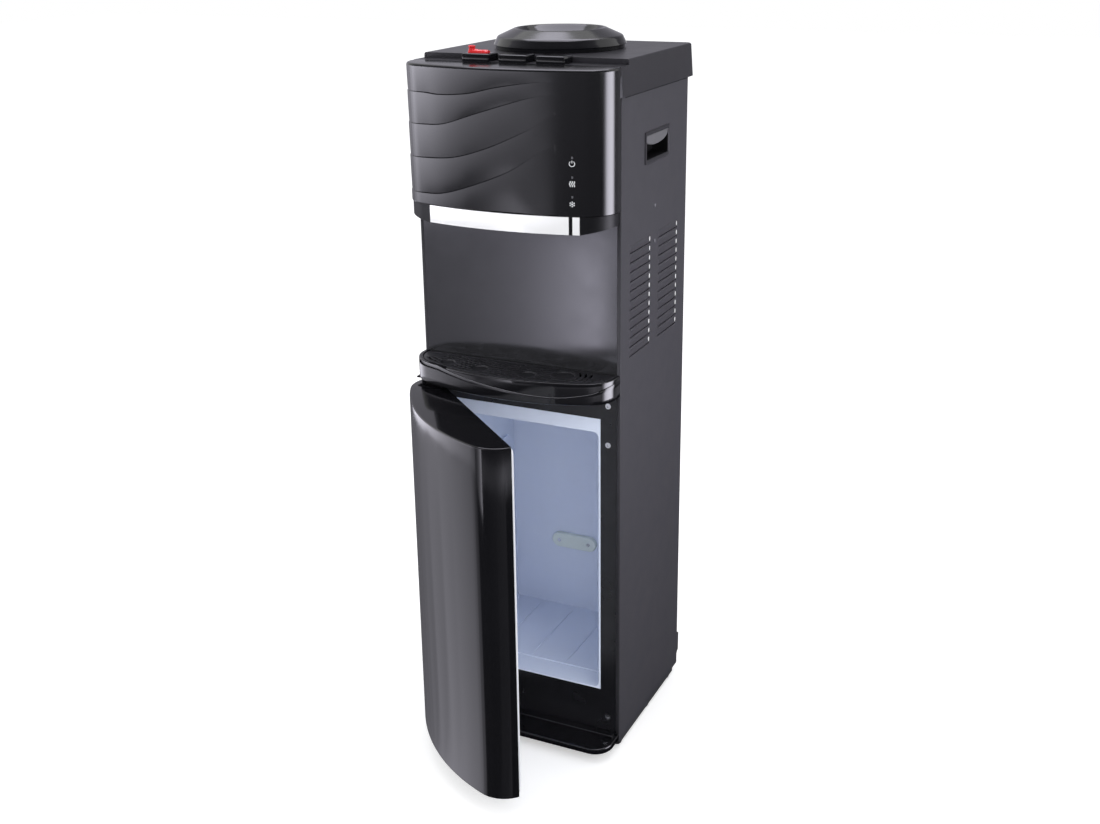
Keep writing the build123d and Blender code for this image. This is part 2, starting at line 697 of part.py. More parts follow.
with BuildPart() as front_frame:
    block((-face_half_width, face_half_width), (front_y, frame_back_y), (frame_bottom, tray_bottom - 0.2))
    block((-opening_half_width - slip_gap, opening_half_width + slip_gap), (front_y, frame_back_y),
          (opening_bottom - slip_gap, opening_top + slip_gap), Mode.SUBTRACT)
    for x, z in frame_screw_places:
        rod("y", (front_y, front_y + screw_head_depth), (x, z), screw_head_radius + seat_gap, Mode.SUBTRACT)
        rod("y", (front_y, frame_back_y), (x, z), screw_shank_radius + seat_gap, Mode.SUBTRACT)
save(front_frame.part, "front_frame")

cavity_half_width = opening_half_width - liner_rim
cavity_bottom = opening_bottom + thin_wall
cavity_top = opening_top - liner_fascia
cavity_height = cavity_top - cavity_bottom
cavity_middle_z = (cavity_top + cavity_bottom) / 2
rib_count = 4
rib_first_x = -cavity_half_width + 47.0
rib_pitch = (2 * cavity_half_width - 63.5) / (rib_count - 1)
rib_rise = 1.5
support_zs = [cavity_bottom + share * cavity_height for share in (0.418, 0.726)]
support_reach = 4.0


def liner_tub(y, grow, depth, mode=Mode.ADD):
    """The rounded block of the compartment from depth y backwards, grown on its sides."""
    with BuildSketch(upright(y)) as section:
        with Locations((0, cavity_middle_z)):
            RectangleRounded(2 * (cavity_half_width + grow), cavity_height + 2 * grow, liner_corner + grow)
    extrude(section.sketch, amount=-depth, mode=mode)


with BuildPart() as storage_liner:
    liner_tub(liner_front_y, thin_wall, liner_depth)
    block((-opening_half_width, opening_half_width), (liner_front_y, frame_back_y), (opening_bottom, opening_top))
    block((-opening_half_width - 5, opening_half_width + 5), (frame_back_y, foam_front_y),
          (opening_bottom - 5, opening_top + 5))
    liner_tub(liner_front_y, 0, liner_depth - thin_wall, Mode.SUBTRACT)
    sill_y = liner_front_y + liner_sill
    block((-cavity_half_width + 6, cavity_half_width - 6), (sill_y, sill_y + 3),
          (cavity_bottom, cavity_bottom + 2))
    for number in range(rib_count):
        rib_x = rib_first_x + number * rib_pitch
        block((rib_x - 1.5, rib_x + 1.5), (sill_y + 3, liner_back_y - 15),
              (cavity_bottom, cavity_bottom + rib_rise))
    for side in (-1, 1):
        for support_z in support_zs:
            reach = sorted((side * cavity_half_width, side * (cavity_half_width - support_reach)))
            block(reach, (liner_front_y + 20, liner_back_y - 30), (support_z, support_z + 5))
save(storage_liner.part, "storage_liner")

with BuildPart() as cabinet_insulation:
    block((-inside_x + 0.2, inside_x - 0.2), (foam_front_y, rear_inner_y - 0.2),
          (insulation_floor, insulation_top))
    liner_tub(foam_front_y, thin_wall + seat_gap, liner_back_y + seat_gap - foam_front_y, Mode.SUBTRACT)
save(cabinet_insulation.part, "cabinet_insulation")

sensor_place = (-12.0, cavity_bottom + 119.0)
sensor_size = (76.0, 24.0)
sensor_rise = 7.0
sensor_screw_spread = 25.0
sensor_back_y = liner_back_y - thin_wall
with BuildPart() as sensor_cover:
    with BuildSketch(upright(sensor_back_y)):
        with Locations(sensor_place):
            SlotOverall(*sensor_size)
    extrude(amount=sensor_rise)
    fillet(sensor_cover.faces().sort_by(Axis.Y)[0].edges(), 2)
    for side in (-1, 1):
        rod("y", (sensor_back_y - sensor_rise, sensor_back_y - sensor_rise + 1.5),
            (sensor_place[0] + side * sensor_screw_spread, sensor_place[1]), 3.0 + seat_gap, Mode.SUBTRACT)
save(sensor_cover.part, "sensor_cover")

with BuildPart() as cabinet_screws:
    for x, z in frame_screw_places:
        rod("y", (front_y + 0.1, front_y + screw_head_depth), (x, z), screw_head_radius)
        rod("y", (front_y + screw_head_depth, frame_back_y), (x, z), screw_shank_radius)
        rod("y", (front_y, front_y + 0.9), (x, z), 1.8, Mode.SUBTRACT)
    for side in (-1, 1):
        rod("y", (sensor_back_y - sensor_rise - 0.3, sensor_back_y - sensor_rise + 1.5),
            (sensor_place[0] + side * sensor_screw_spread, sensor_place[1]), 3.0)
        for screw_z in side_screw_zs:
            outward = sorted((side * half_width, side * (half_width + 1.0)))
            inward = sorted((side * (half_width - sheet - 1.0), side * half_width))
            rod("x", outward, (side_screw_y, screw_z), 2.6)
            rod("x", inward, (side_screw_y, screw_z), side_screw_radius)
save(cabinet_screws.part, "cabinet_screws")

# ---------------------------------------------------------------- door

door_shell_back_y = door_back_y + seat_gap - door_liner_thickness + 0.4
bush_radius = hinge_pin_radius + running_gap


def door_pin_hole(z, radius):
    """Clears the hinge pin's line through a door piece."""
    rod("z", z, (hinge_x, hinge_y), radius, Mode.SUBTRACT)


def open_door(part):
    """Swings a door piece from closed to the open pose that the cooler is shown in."""
    return part.rotate(hinge_axis, -door_open_angle)


pin_depth = 14.0
boss_radius = 6.5
with BuildPart() as door_shell:
    bowed_prism(door_bow, tray_corner, (door_bottom, door_top), 0.0, door_back_y - door_liner_thickness)
    bowed_prism(door_bow, tray_corner, (door_bottom + wall, door_top - wall), wall,
                door_back_y - door_liner_thickness, Mode.SUBTRACT)
    for low in (door_bottom, door_top - pin_depth - 4):
        rod("z", (low, low + pin_depth + 4), (hinge_x, hinge_y), boss_radius)
    door_pin_hole((door_bottom, door_bottom + pin_depth), bush_radius)
    door_pin_hole((door_top - pin_depth, door_top), bush_radius)
save(open_door(door_shell.part), "door_shell")

door_liner_inset = 3.5
with BuildPart() as door_liner:
    liner_x = bow_half_width - door_liner_inset
    liner_z = (door_bottom + door_liner_inset, door_top - door_liner_inset)
    with BuildSketch(upright(door_back_y)):
        with Locations((0, (liner_z[0] + liner_z[1]) / 2)):
            RectangleRounded(2 * liner_x, liner_z[1] - liner_z[0], 6)
    extrude(amount=door_liner_thickness)
    with BuildSketch(upright(door_back_y - door_liner_thickness)):
        with Locations((0, (liner_z[0] + liner_z[1]) / 2)):
            RectangleRounded(2 * liner_x - 60, liner_z[1] - liner_z[0] - 60, 12)
    extrude(amount=2.0)
save(open_door(door_liner.part), "door_liner")

with BuildPart() as door_insulation:
    foam_inset = wall + seat_gap
    bowed_prism(door_bow, tray_corner, (door_bottom + foam_inset, door_top - foam_inset), foam_inset,
                door_back_y - door_liner_thickness - seat_gap)
    with BuildSketch(upright(door_back_y - door_liner_thickness)):
        with Locations((0, (liner_z[0] + liner_z[1]) / 2)):
            RectangleRounded(2 * liner_x - 60 + 2 * seat_gap, liner_z[1] - liner_z[0] - 60 + 2 * seat_gap, 12)
    extrude(amount=2.0 + seat_gap, mode=Mode.SUBTRACT)
    for low in (door_bottom, door_top - pin_depth - 4):
        door_pin_hole((low - 1, low + pin_depth + 5), boss_radius + seat_gap)
save(open_door(door_insulation.part), "door_insulation")

with BuildPart() as door_gasket:
    gasket_x = liner_x - 4
    gasket_z = (liner_z[0] + 4, liner_z[1] - 4)
    gasket_middle = (gasket_z[0] + gasket_z[1]) / 2
    with BuildSketch(upright(door_back_y)):
        with Locations((0, gasket_middle)):
            RectangleRounded(2 * gasket_x, gasket_z[1] - gasket_z[0], 6)
            RectangleRounded(2 * (gasket_x - gasket_width), gasket_z[1] - gasket_z[0] - 2 * gasket_width, 4,
                             mode=Mode.SUBTRACT)
    extrude(amount=-gasket_thickness)
save(open_door(door_gasket.part), "door_gasket")

hinge_plate = 1.8
hinge_plate_reach = 28.0
hinge_eye = 7.0
with BuildPart() as door_hinges:
    plate_x = (hinge_x - hinge_eye, hinge_x + hinge_plate_reach)
    plate_y = (hinge_y - hinge_eye, front_y - 2)
    lower_top = skirt_top + skirt_step_height
    block(plate_x, (front_y - skirt_step_depth, front_y - 0.2), (lower_top, lower_top + hinge_plate))
    block((hinge_x - hinge_eye, hinge_x + hinge_eye), (hinge_y - hinge_eye, front_y - skirt_step_depth),
          (lower_top, lower_top + hinge_plate))
    rod("z", (lower_top, door_bottom + pin_depth - 1), (hinge_x, hinge_y), hinge_pin_radius)
    block(plate_x, plate_y, (tray_bottom - hinge_plate, tray_bottom))
    rod("z", (door_top - pin_depth + 1, tray_bottom), (hinge_x, hinge_y), hinge_pin_radius)
save(door_hinges.part, "door_hinges")

# ---------------------------------------------------------------- buttons, latch, springs and taps

button_top = ledge_height + button_rise
button_bottom = button_top - button_depth
stem_bottom = tap_barrel_top - 23.0
collar_z = tap_barrel_top + spring_length
latch_y = stem_y - 2.0
latch_slot = (-8.3, 7.0)


def push_button(x, with_slot):
    """A push button: cap, stem and the collar that its return spring pushes on."""
    with BuildPart() as button:
        cap_x = (x - button_size[0] / 2, x + button_size[0] / 2)
        block(cap_x, (button_front_y, button_back_y), (button_bottom, button_top))
        fillet(button.faces().sort_by(Axis.Z)[-1].edges(), 1.2)
        block((cap_x[0] + thin_wall, cap_x[1] - thin_wall),
              (button_front_y + thin_wall, button_back_y - thin_wall),
              (button_bottom, button_top - wall * 2), Mode.SUBTRACT)
        rod("z", (stem_bottom, button_top - wall), (x, stem_y), stem_radius)
        rod("z", (collar_z, collar_z + 3), (x, stem_y), stem_radius + 4)
        if with_slot:
            block((x + latch_slot[0], x + latch_slot[1]), (latch_y - 2.3, latch_y + 2.3),
                  (button_top - 4.5, button_top), Mode.SUBTRACT)
    return button.part


def tap(x):
    """A tap: level body with a rear inlet, a nozzle in front and an upright plunger barrel."""
    with BuildPart() as body:
        rod("y", (nozzle_y - tap_radius, stem_y + 14), (x, tap_height), tap_radius)
        rod("z", (housing_floor - 4, tap_height), (x, nozzle_y), nozzle_radius)
        rod("z", (tap_height, tap_barrel_top), (x, stem_y), barrel_radius)
        rod("y", (stem_y + 14, stem_y + 24), (x, tap_height), hose_bore)
        block((x - 7, x + 7), (recess_back_y + 2, stem_y + 12), (recess_top, tap_height))
        rod("z", (stem_bottom - button_travel - 2, tap_barrel_top), (x, stem_y), stem_radius + running_gap,
            Mode.SUBTRACT)
        rod("z", (housing_floor - 4, tap_height - 4), (x, nozzle_y), nozzle_radius - thin_wall, Mode.SUBTRACT)
    return body.part


def return_spring(x):
    """The room that a return spring takes round its stem."""
    with BuildPart() as coil:
        rod("z", (tap_barrel_top, collar_z), (x, stem_y), stem_radius + 3.2)
        rod("z", (tap_barrel_top, collar_z), (x, stem_y), stem_radius + 1.2, Mode.SUBTRACT)
    return coil.part


for name, x in zip(("hot", "room", "cold"), button_xs):
    save(push_button(x, name == "hot"), f"{name}_button")
    save(tap(x), f"{name}_tap")
    save(return_spring(x), f"{name}_spring")

with BuildPart() as hot_latch:
    hot_x = button_xs[0]
    latch_bottom = button_top + slip_gap
    block((hot_x - 15, hot_x + 14), (latch_y - 4, latch_y + 4), (latch_bottom, latch_bottom + 3.5))
    rod("y", (latch_y - 4, latch_y + 4), (hot_x - 10.5, latch_bottom + 4.0), 4.0)
    block((hot_x + latch_slot[0] + slip_gap, hot_x + latch_slot[1] - latch_travel - slip_gap),
          (latch_y - 2, latch_y + 2), (button_top - 4, latch_bottom))
save(hot_latch.part, "hot_latch")

# ---------------------------------------------------------------- equipment deck, shelf and tanks

with BuildPart() as equipment_deck:
    block((-inside_x + 0.2, inside_x - 0.2), (foam_front_y, rear_inner_y - 0.2), (insulation_top, deck_top))
save(equipment_deck.part, "equipment_deck")

shelf_flange_y = (-15.0, 12.0)
shelf_flange_z = (shelf_height - 30.0, shelf_height + 35.0)
shelf_y = (-70.0, rear_y - 18.5)
feed_place = ((hot_tank_centre[0] + hot_tank_radius - tank_radius) / 2, hot_tank_centre[1] - 5.0)
hot_outlet = (hot_tank_centre[0] - 28.0, hot_tank_centre[1] - 26.0)
with BuildPart() as tank_shelf:
    block((-inside_x, inside_x), shelf_y, (shelf_height, shelf_height + shelf_sheet))
    for side in (-1, 1):
        flange = sorted((side * (inside_x - shelf_sheet), side * inside_x))
        block(flange, shelf_flange_y, shelf_flange_z)
        for screw_z in side_screw_zs:
            rod("x", flange, (side_screw_y, screw_z), side_screw_radius + seat_gap, Mode.SUBTRACT)
    for place in (feed_place, hot_outlet):
        rod("z", (shelf_height, shelf_height + shelf_sheet), place, hose_radius + 1, Mode.SUBTRACT)
save(tank_shelf.part, "tank_shelf")

shelf_top = shelf_height + shelf_sheet
hot_jacket_radius = hot_tank_radius + hot_jacket_wall
hot_tank_bottom = deck_top + 12.0
hot_tank_top = hot_tank_bottom + hot_tank_height
hot_jacket_top = hot_tank_top + 12.0
cold_x = button_xs[2]
room_x = button_xs[1]
hot_x = button_xs[0]
cold_outlet_z = tap_height
room_outlet_z = tank_top - 35.0
outlet_y = collar_y - tank_radius - jacket_wall - 8.0
hose_front_y = stem_y + 15.0

with BuildPart() as cold_tank:
    rod("z", (tank_bottom, tank_top), (0, collar_y), tank_radius)
    rod("z", (tank_bottom + tank_wall, tank_top - tank_wall), (0, collar_y), tank_radius - tank_wall,
        Mode.SUBTRACT)
    for x, z in ((cold_x, cold_outlet_z), (room_x, room_outlet_z)):
        surface_y = collar_y - sqrt((tank_radius - tank_wall / 2) ** 2 - (abs(x) + hose_bore) ** 2)
        rod("y", (outlet_y, surface_y), (x, z), hose_bore - 0.05)
    rod("z", (shelf_top - 18, tank_bottom + tank_wall), feed_place, hose_bore - 0.05)
    rod("z", (tank_top - tank_wall, tank_top), (0, collar_y), spout_radius + seat_gap, Mode.SUBTRACT)
save(cold_tank.part, "cold_tank")

jacket_radius = tank_radius + jacket_wall
jacket_flat_y = collar_y + tank_radius + 17.0
with BuildPart() as cold_tank_jacket:
    rod("z", (shelf_top, tank_top), (0, collar_y), jacket_radius)
    rod("z", (tank_bottom, tank_top), (0, collar_y), tank_radius + seat_gap, Mode.SUBTRACT)
    block((-jacket_radius, jacket_radius), (jacket_flat_y, collar_y + jacket_radius + 1), (shelf_top, tank_top),
          Mode.SUBTRACT)
    module_x = (-module_side / 2 - seat_gap, module_side / 2 + seat_gap)
    module_z = (fan_z - module_side / 2 - seat_gap, fan_z + module_side / 2 + seat_gap)
    block(module_x, (collar_y + tank_radius - 6, jacket_flat_y), module_z, Mode.SUBTRACT)
    for x, z in ((cold_x, cold_outlet_z), (room_x, room_outlet_z)):
        rod("y", (collar_y - jacket_radius - 1, collar_y), (x, z), hose_bore + seat_gap, Mode.SUBTRACT)
    rod("z", (shelf_top, tank_bottom), feed_place, hose_bore + seat_gap, Mode.SUBTRACT)
save(cold_tank_jacket.part, "cold_tank_jacket")

sink_front_y = jacket_flat_y + module_thickness
sink_back_y = rear_inner_y - 0.5
with BuildPart() as cooling_module:
    half_module = module_side / 2
    block((-half_module, half_module), (collar_y + tank_radius - 6, jacket_flat_y + 0.0),
          (fan_z - half_module, fan_z + half_module))
    rod("z", (fan_z - half_module, fan_z + half_module), (0, collar_y), tank_radius + seat_gap / 2, Mode.SUBTRACT)
    block((-half_module, half_module), (jacket_flat_y, sink_front_y), (fan_z - half_module, fan_z + half_module))
save(cooling_module.part, "cooling_module")

fin_count = 13
fin_thickness = 2.0
fin_pitch = (sink_side - fin_thickness) / (fin_count - 1)
with BuildPart() as heat_sink:
    half_sink = sink_side / 2
    block((-half_sink, half_sink), (sink_front_y, sink_front_y + sink_base),
          (fan_z - half_sink, fan_z + half_sink))
    for number in range(fin_count):
        fin_x = -half_sink + number * fin_pitch
        block((fin_x, fin_x + fin_thickness), (sink_front_y + sink_base, sink_back_y),
              (fan_z - half_sink, fan_z + half_sink))
save(heat_sink.part, "heat_sink")

# ---------------------------------------------------------------- fan

fan_front_y = rear_panel_y
fan_back_y = fan_front_y + fan_depth
fan_hub_radius = 15.0
fan_bore_radius = fan_side / 2 - 3.0
fan_blade_tip = fan_bore_radius - 1.5
fan_shaft_radius = 1.5
fan_arm = 2.0
rotor_y = (fan_front_y + 3, fan_back_y - fan_arm - 3)
with BuildPart() as fan_frame:
    with BuildSketch(upright(fan_back_y)):
        with Locations((0, fan_z)):
            RectangleRounded(fan_side, fan_side, 4)
            Circle(fan_bore_radius, mode=Mode.SUBTRACT)
    extrude(amount=fan_depth)
    rod("y", (fan_back_y - fan_arm, fan_back_y), (0, fan_z), fan_hub_radius)
    for turn in (45, 135):
        with Locations(Location((0, fan_back_y - fan_arm / 2, fan_z), (0, turn, 0))):
            Box(2 * fan_bore_radius + 2, fan_arm, 4)
    rod("y", (rotor_y[0] + 1, fan_back_y), (0, fan_z), fan_shaft_radius)
save(fan_frame.part, "fan_frame")

blade_count = 7
with BuildPart() as fan_rotor:
    rod("y", rotor_y, (0, fan_z), fan_hub_radius)
    blade_length = fan_blade_tip - fan_hub_radius + 2
    blade_middle = fan_hub_radius - 2 + blade_length / 2
    for number in range(blade_count):
        angle = 360 / blade_count * number
        place = Location((0, sum(rotor_y) / 2, fan_z), (0, angle, 0)) * Location((blade_middle, 0, 0), (40, 0, 0))
        with Locations(place):
            Box(blade_length, 1.4, 15)
    rod("y", (rotor_y[0] + 3, rotor_y[1]), (0, fan_z), fan_hub_radius - 2, Mode.SUBTRACT)
    rod("y", (rotor_y[0], rotor_y[1]), (0, fan_z), fan_shaft_radius + 3)
    rod("y", rotor_y, (0, fan_z), fan_shaft_radius + running_gap, Mode.SUBTRACT)
save(fan_rotor.part, "fan_rotor")

# ---------------------------------------------------------------- hot tank, hoses and drain

hot_stub_top = hot_jacket_top + 10.0
with BuildPart() as hot_tank:
    rod("z", (hot_tank_bottom, hot_tank_top), hot_tank_centre, hot_tank_radius)
    rod("z", (hot_tank_bottom + tank_wall, hot_tank_top - tank_wall), hot_tank_centre,
        hot_tank_radius - tank_wall, Mode.SUBTRACT)
    for place in (feed_place, hot_outlet):
        rod("z", (hot_tank_top - tank_wall, hot_stub_top), place, hose_bore - 0.05)
    drain_start_y = hot_tank_centre[1] + hot_tank_radius - 2
    rod("y", (drain_start_y, drain_start_y + hot_jacket_wall + 6), (hot_tank_centre[0], drain_z), hose_bore)
save(hot_tank.part, "hot_tank")

with BuildPart() as hot_tank_jacket:
    rod("z", (deck_top, hot_jacket_top), hot_tank_centre, hot_jacket_radius)
    rod("z", (hot_tank_bottom, hot_tank_top), hot_tank_centre, hot_tank_radius + seat_gap, Mode.SUBTRACT)
    for place in (feed_place, hot_outlet):
        rod("z", (hot_tank_top, hot_jacket_top), place, hose_bore + seat_gap, Mode.SUBTRACT)
    rod("y", (hot_tank_centre[1], hot_tank_centre[1] + hot_jacket_radius), (hot_tank_centre[0], drain_z),
        hose_bore + seat_gap, Mode.SUBTRACT)
save(hot_tank_jacket.part, "hot_tank_jacket")


def hose(points, bend):
    """A silicone hose with its bore along straight runs joined by arcs."""
    with BuildPart() as tube:
        with BuildLine() as path:
            if len(points) > 2:
                FilletPolyline(*points, radius=bend)
            else:
                Line(*points)
        with BuildSketch(Plane(origin=path.line @ 0, z_dir=path.line % 0)):
            Circle(hose_radius)
            Circle(hose_bore, mode=Mode.SUBTRACT)
        sweep()
    return tube.part


hose_drop_y = outlet_y - 6.0
hose_turn_y = outlet_y + 4.0
hot_hose_bend = 14.0
room_hose_bend = 5.0
save(hose([(cold_x, outlet_y + 5, cold_outlet_z), (cold_x, hose_front_y, cold_outlet_z)], 0), "cold_hose")
save(hose([(room_x, outlet_y + 5, room_outlet_z), (room_x, hose_drop_y, room_outlet_z),
           (room_x, hose_drop_y, tap_height), (room_x, hose_front_y, tap_height)], room_hose_bend), "room_hose")
save(hose([(*hot_outlet, hot_jacket_top + 1), (*hot_outlet, tap_height), (hot_x, hose_turn_y, tap_height),
           (hot_x, hose_front_y, tap_height)], hot_hose_bend), "hot_hose")
save(hose([(*feed_place, hot_jacket_top + 1), (*feed_place, shelf_height - 1)], 0), "feed_hose")

with BuildPart() as drain_outlet:
    drain_y = (drain_start_y + hot_jacket_wall + 2, rear_panel_y + 8)
    place = (hot_tank_centre[0], drain_z)
    rod("y", drain_y, place, drain_radius)
    rod("y", (rear_panel_y, rear_panel_y + 2), place, drain_radius + 4)
    rod("y", (drain_y[0], drain_y[0] + 6), place, hose_bore + seat_gap, Mode.SUBTRACT)
    rod("y", (rear_panel_y + 8, rear_panel_y + 16), place, drain_radius + 2.5)
save(drain_outlet.part, "drain_outlet")

# ---------------------------------------------------------------- electrics

supply_width = 100.0
supply_length = 116.0
supply_height = 46.0
supply_side_margin = 20.0
supply_rear_margin = 26.5
supply_x = (half_width - supply_side_margin - supply_width, half_width - supply_side_margin)
supply_y = (rear_y - supply_rear_margin - supply_length, rear_y - supply_rear_margin)
with BuildPart() as power_supply:
    block(supply_x, supply_y, (deck_top, deck_top + supply_height))
    block((supply_x[0] + thin_wall, supply_x[1] - thin_wall), (supply_y[0] + thin_wall, supply_y[1] - thin_wall),
          (deck_top, deck_top + supply_height - thin_wall), Mode.SUBTRACT)
    for row in range(8):
        slot_y = supply_y[0] + 16 + row * 11.0
        block((supply_x[0] + 20, supply_x[1] - 20), (slot_y, slot_y + 4),
              (deck_top + supply_height - thin_wall, deck_top + supply_height), Mode.SUBTRACT)
save(power_supply.part, "power_supply")

rocker_size = (14.0, 18.0)
rocker_tilt = 8.0
rocker_pin_radius = 1.5
rocker_depth = 9.0
rocker_y = rear_panel_y - 1.0
rocker_xs = (switch_x - 8.5, switch_x + 8.5)
bezel = (40.0, 26.0)
with BuildPart() as switch_housing:
    block((switch_x - bezel[0] / 2, switch_x + bezel[0] / 2), (rear_panel_y, rear_panel_y + 2),
          (switch_z - bezel[1] / 2, switch_z + bezel[1] / 2))
    block((switch_x - switch_opening[0] / 2 + seat_gap, switch_x + switch_opening[0] / 2 - seat_gap),
          (rear_panel_y - 18, rear_panel_y),
          (switch_z - switch_opening[1] / 2 + seat_gap, switch_z + switch_opening[1] / 2 - seat_gap))
    for x in rocker_xs:
        block((x - rocker_size[0] / 2 - slip_gap, x + rocker_size[0] / 2 + slip_gap),
              (rear_panel_y - 15, rear_panel_y + 2),
              (switch_z - rocker_size[1] / 2 - 0.7, switch_z + rocker_size[1] / 2 + 0.7), Mode.SUBTRACT)
        rod("x", (x - rocker_size[0] / 2 - slip_gap, x + rocker_size[0] / 2 + slip_gap), (rocker_y, switch_z),
            rocker_pin_radius)
save(switch_housing.part, "switch_housing")


def rocker(x):
    """A rocker on its pin, tilted to its off side."""
    with BuildPart() as body:
        with BuildSketch(Plane.YZ.offset(x - rocker_size[0] / 2)):
            half = rocker_size[1] / 2
            with BuildLine():
                Polyline((rocker_y - rocker_depth / 2, switch_z - half + 3), (rocker_y + 2.5, switch_z - half),
                         (rocker_y + 4.2, switch_z - half), (rocker_y + 3.2, switch_z),
                         (rocker_y + 4.2, switch_z + half), (rocker_y + 2.5, switch_z + half),
                         (rocker_y - rocker_depth / 2, switch_z + half - 3), close=True)
            make_face()
        extrude(amount=rocker_size[0])
        rod("x", (x - rocker_size[0] / 2, x + rocker_size[0] / 2), (rocker_y, switch_z),
            rocker_pin_radius + running_gap, Mode.SUBTRACT)
    return body.part.rotate(Axis((0, rocker_y, switch_z), (1, 0, 0)), -rocker_tilt)


save(rocker(rocker_xs[0]), "hot_switch")
save(rocker(rocker_xs[1]), "cold_switch")

with BuildPart() as cord_gland:
    rod("y", (rear_inner_y - 4, rear_panel_y + 3), gland_place, gland_radius)
    rod("y", (rear_panel_y, rear_panel_y + 3), gland_place, gland_radius + 3)
    rod("y", (rear_inner_y - 4, rear_panel_y + 3), gland_place, 3.6, Mode.SUBTRACT)
save(cord_gland.part, "cord_gland")
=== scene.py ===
from functools import cache
from math import atan2, cos, hypot, pi, radians, sin, sqrt

import bmesh
import bpy
from mathutils import Matrix, Vector


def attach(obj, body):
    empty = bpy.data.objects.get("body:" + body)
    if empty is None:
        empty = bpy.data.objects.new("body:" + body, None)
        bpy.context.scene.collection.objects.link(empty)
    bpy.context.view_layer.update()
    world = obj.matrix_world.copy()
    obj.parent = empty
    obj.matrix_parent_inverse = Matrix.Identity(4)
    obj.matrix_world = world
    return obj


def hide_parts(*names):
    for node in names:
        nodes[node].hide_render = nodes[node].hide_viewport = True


# Water cooler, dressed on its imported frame. Metres, +Z up, the front faces -Y.

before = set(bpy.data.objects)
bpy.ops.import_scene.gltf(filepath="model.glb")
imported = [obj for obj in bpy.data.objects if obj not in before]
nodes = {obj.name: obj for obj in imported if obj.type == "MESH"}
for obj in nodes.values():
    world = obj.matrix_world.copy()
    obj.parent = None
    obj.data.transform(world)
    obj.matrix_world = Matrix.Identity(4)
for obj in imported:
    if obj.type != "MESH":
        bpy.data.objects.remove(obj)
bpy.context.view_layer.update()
scene = bpy.context.scene

# ---- camera

# Focal length, picture size and lens axis in pixels of the photo
FOCAL = 1354.22
IMAGE = (1100, 824)
PRINCIPAL = (550.0, 372.0)
SENSOR_WIDTH = 36.0
VIEW_AZ, VIEW_EL, VIEW_ROLL = radians(25.49), radians(18.769), radians(-0.757)
CAMERA_AT = Vector((0.8019, -1.7086, 1.1695))
CAMERA_REACH = 60.0

back = Vector((sin(VIEW_AZ) * cos(VIEW_EL), -cos(VIEW_AZ) * cos(VIEW_EL), sin(VIEW_EL)))
right = Vector((cos(VIEW_AZ), sin(VIEW_AZ), 0.0))
up = back.cross(right)
image_right = cos(VIEW_ROLL) * right + sin(VIEW_ROLL) * up
image_up = -sin(VIEW_ROLL) * right + cos(VIEW_ROLL) * up
camera_data = bpy.data.cameras.new("camera")
camera_data.sensor_fit = "HORIZONTAL"
camera_data.sensor_width = SENSOR_WIDTH
camera_data.lens = FOCAL * SENSOR_WIDTH / IMAGE[0]
camera_data.shift_x = (IMAGE[0] / 2 - PRINCIPAL[0]) / IMAGE[0]
camera_data.shift_y = (PRINCIPAL[1] - IMAGE[1] / 2) / IMAGE[0]
camera_data.clip_end = CAMERA_REACH
camera = bpy.data.objects.new("camera", camera_data)
scene.collection.objects.link(camera)
turn = Matrix((image_right, image_up, back)).transposed().to_4x4()
camera.matrix_world = Matrix.Translation(CAMERA_AT) @ turn
scene.camera = camera

# ---- materials

NOISE_SPAN = (0.3, 0.7)
COAT_ROUGHNESS = 0.04
LEAST_ROUGHNESS = 0.02
SMEAR_SCALE = 7
RELIEF_DEPTH = 0.0006
LINE_SCALE = 60.0
LINE_STRENGTH = 0.08


def add_node(tree, kind, **inputs):
    """A new shader node with the named inputs set; an underscore in a name stands for a space."""
    node = tree.nodes.new("ShaderNode" + kind)
    for name, value in inputs.items():
        node.inputs[name.replace("_", " ")].default_value = value
    return node


def wire(source, output, target, entry):
    """Links one shader node's output to another's input."""
    source.id_data.links.new(source.outputs[output], target.inputs[entry])


def empty_tree(holder):
    """The node tree of a material or world, with nothing in it."""
    holder.use_nodes = True
    holder.node_tree.nodes.clear()
    return holder.node_tree


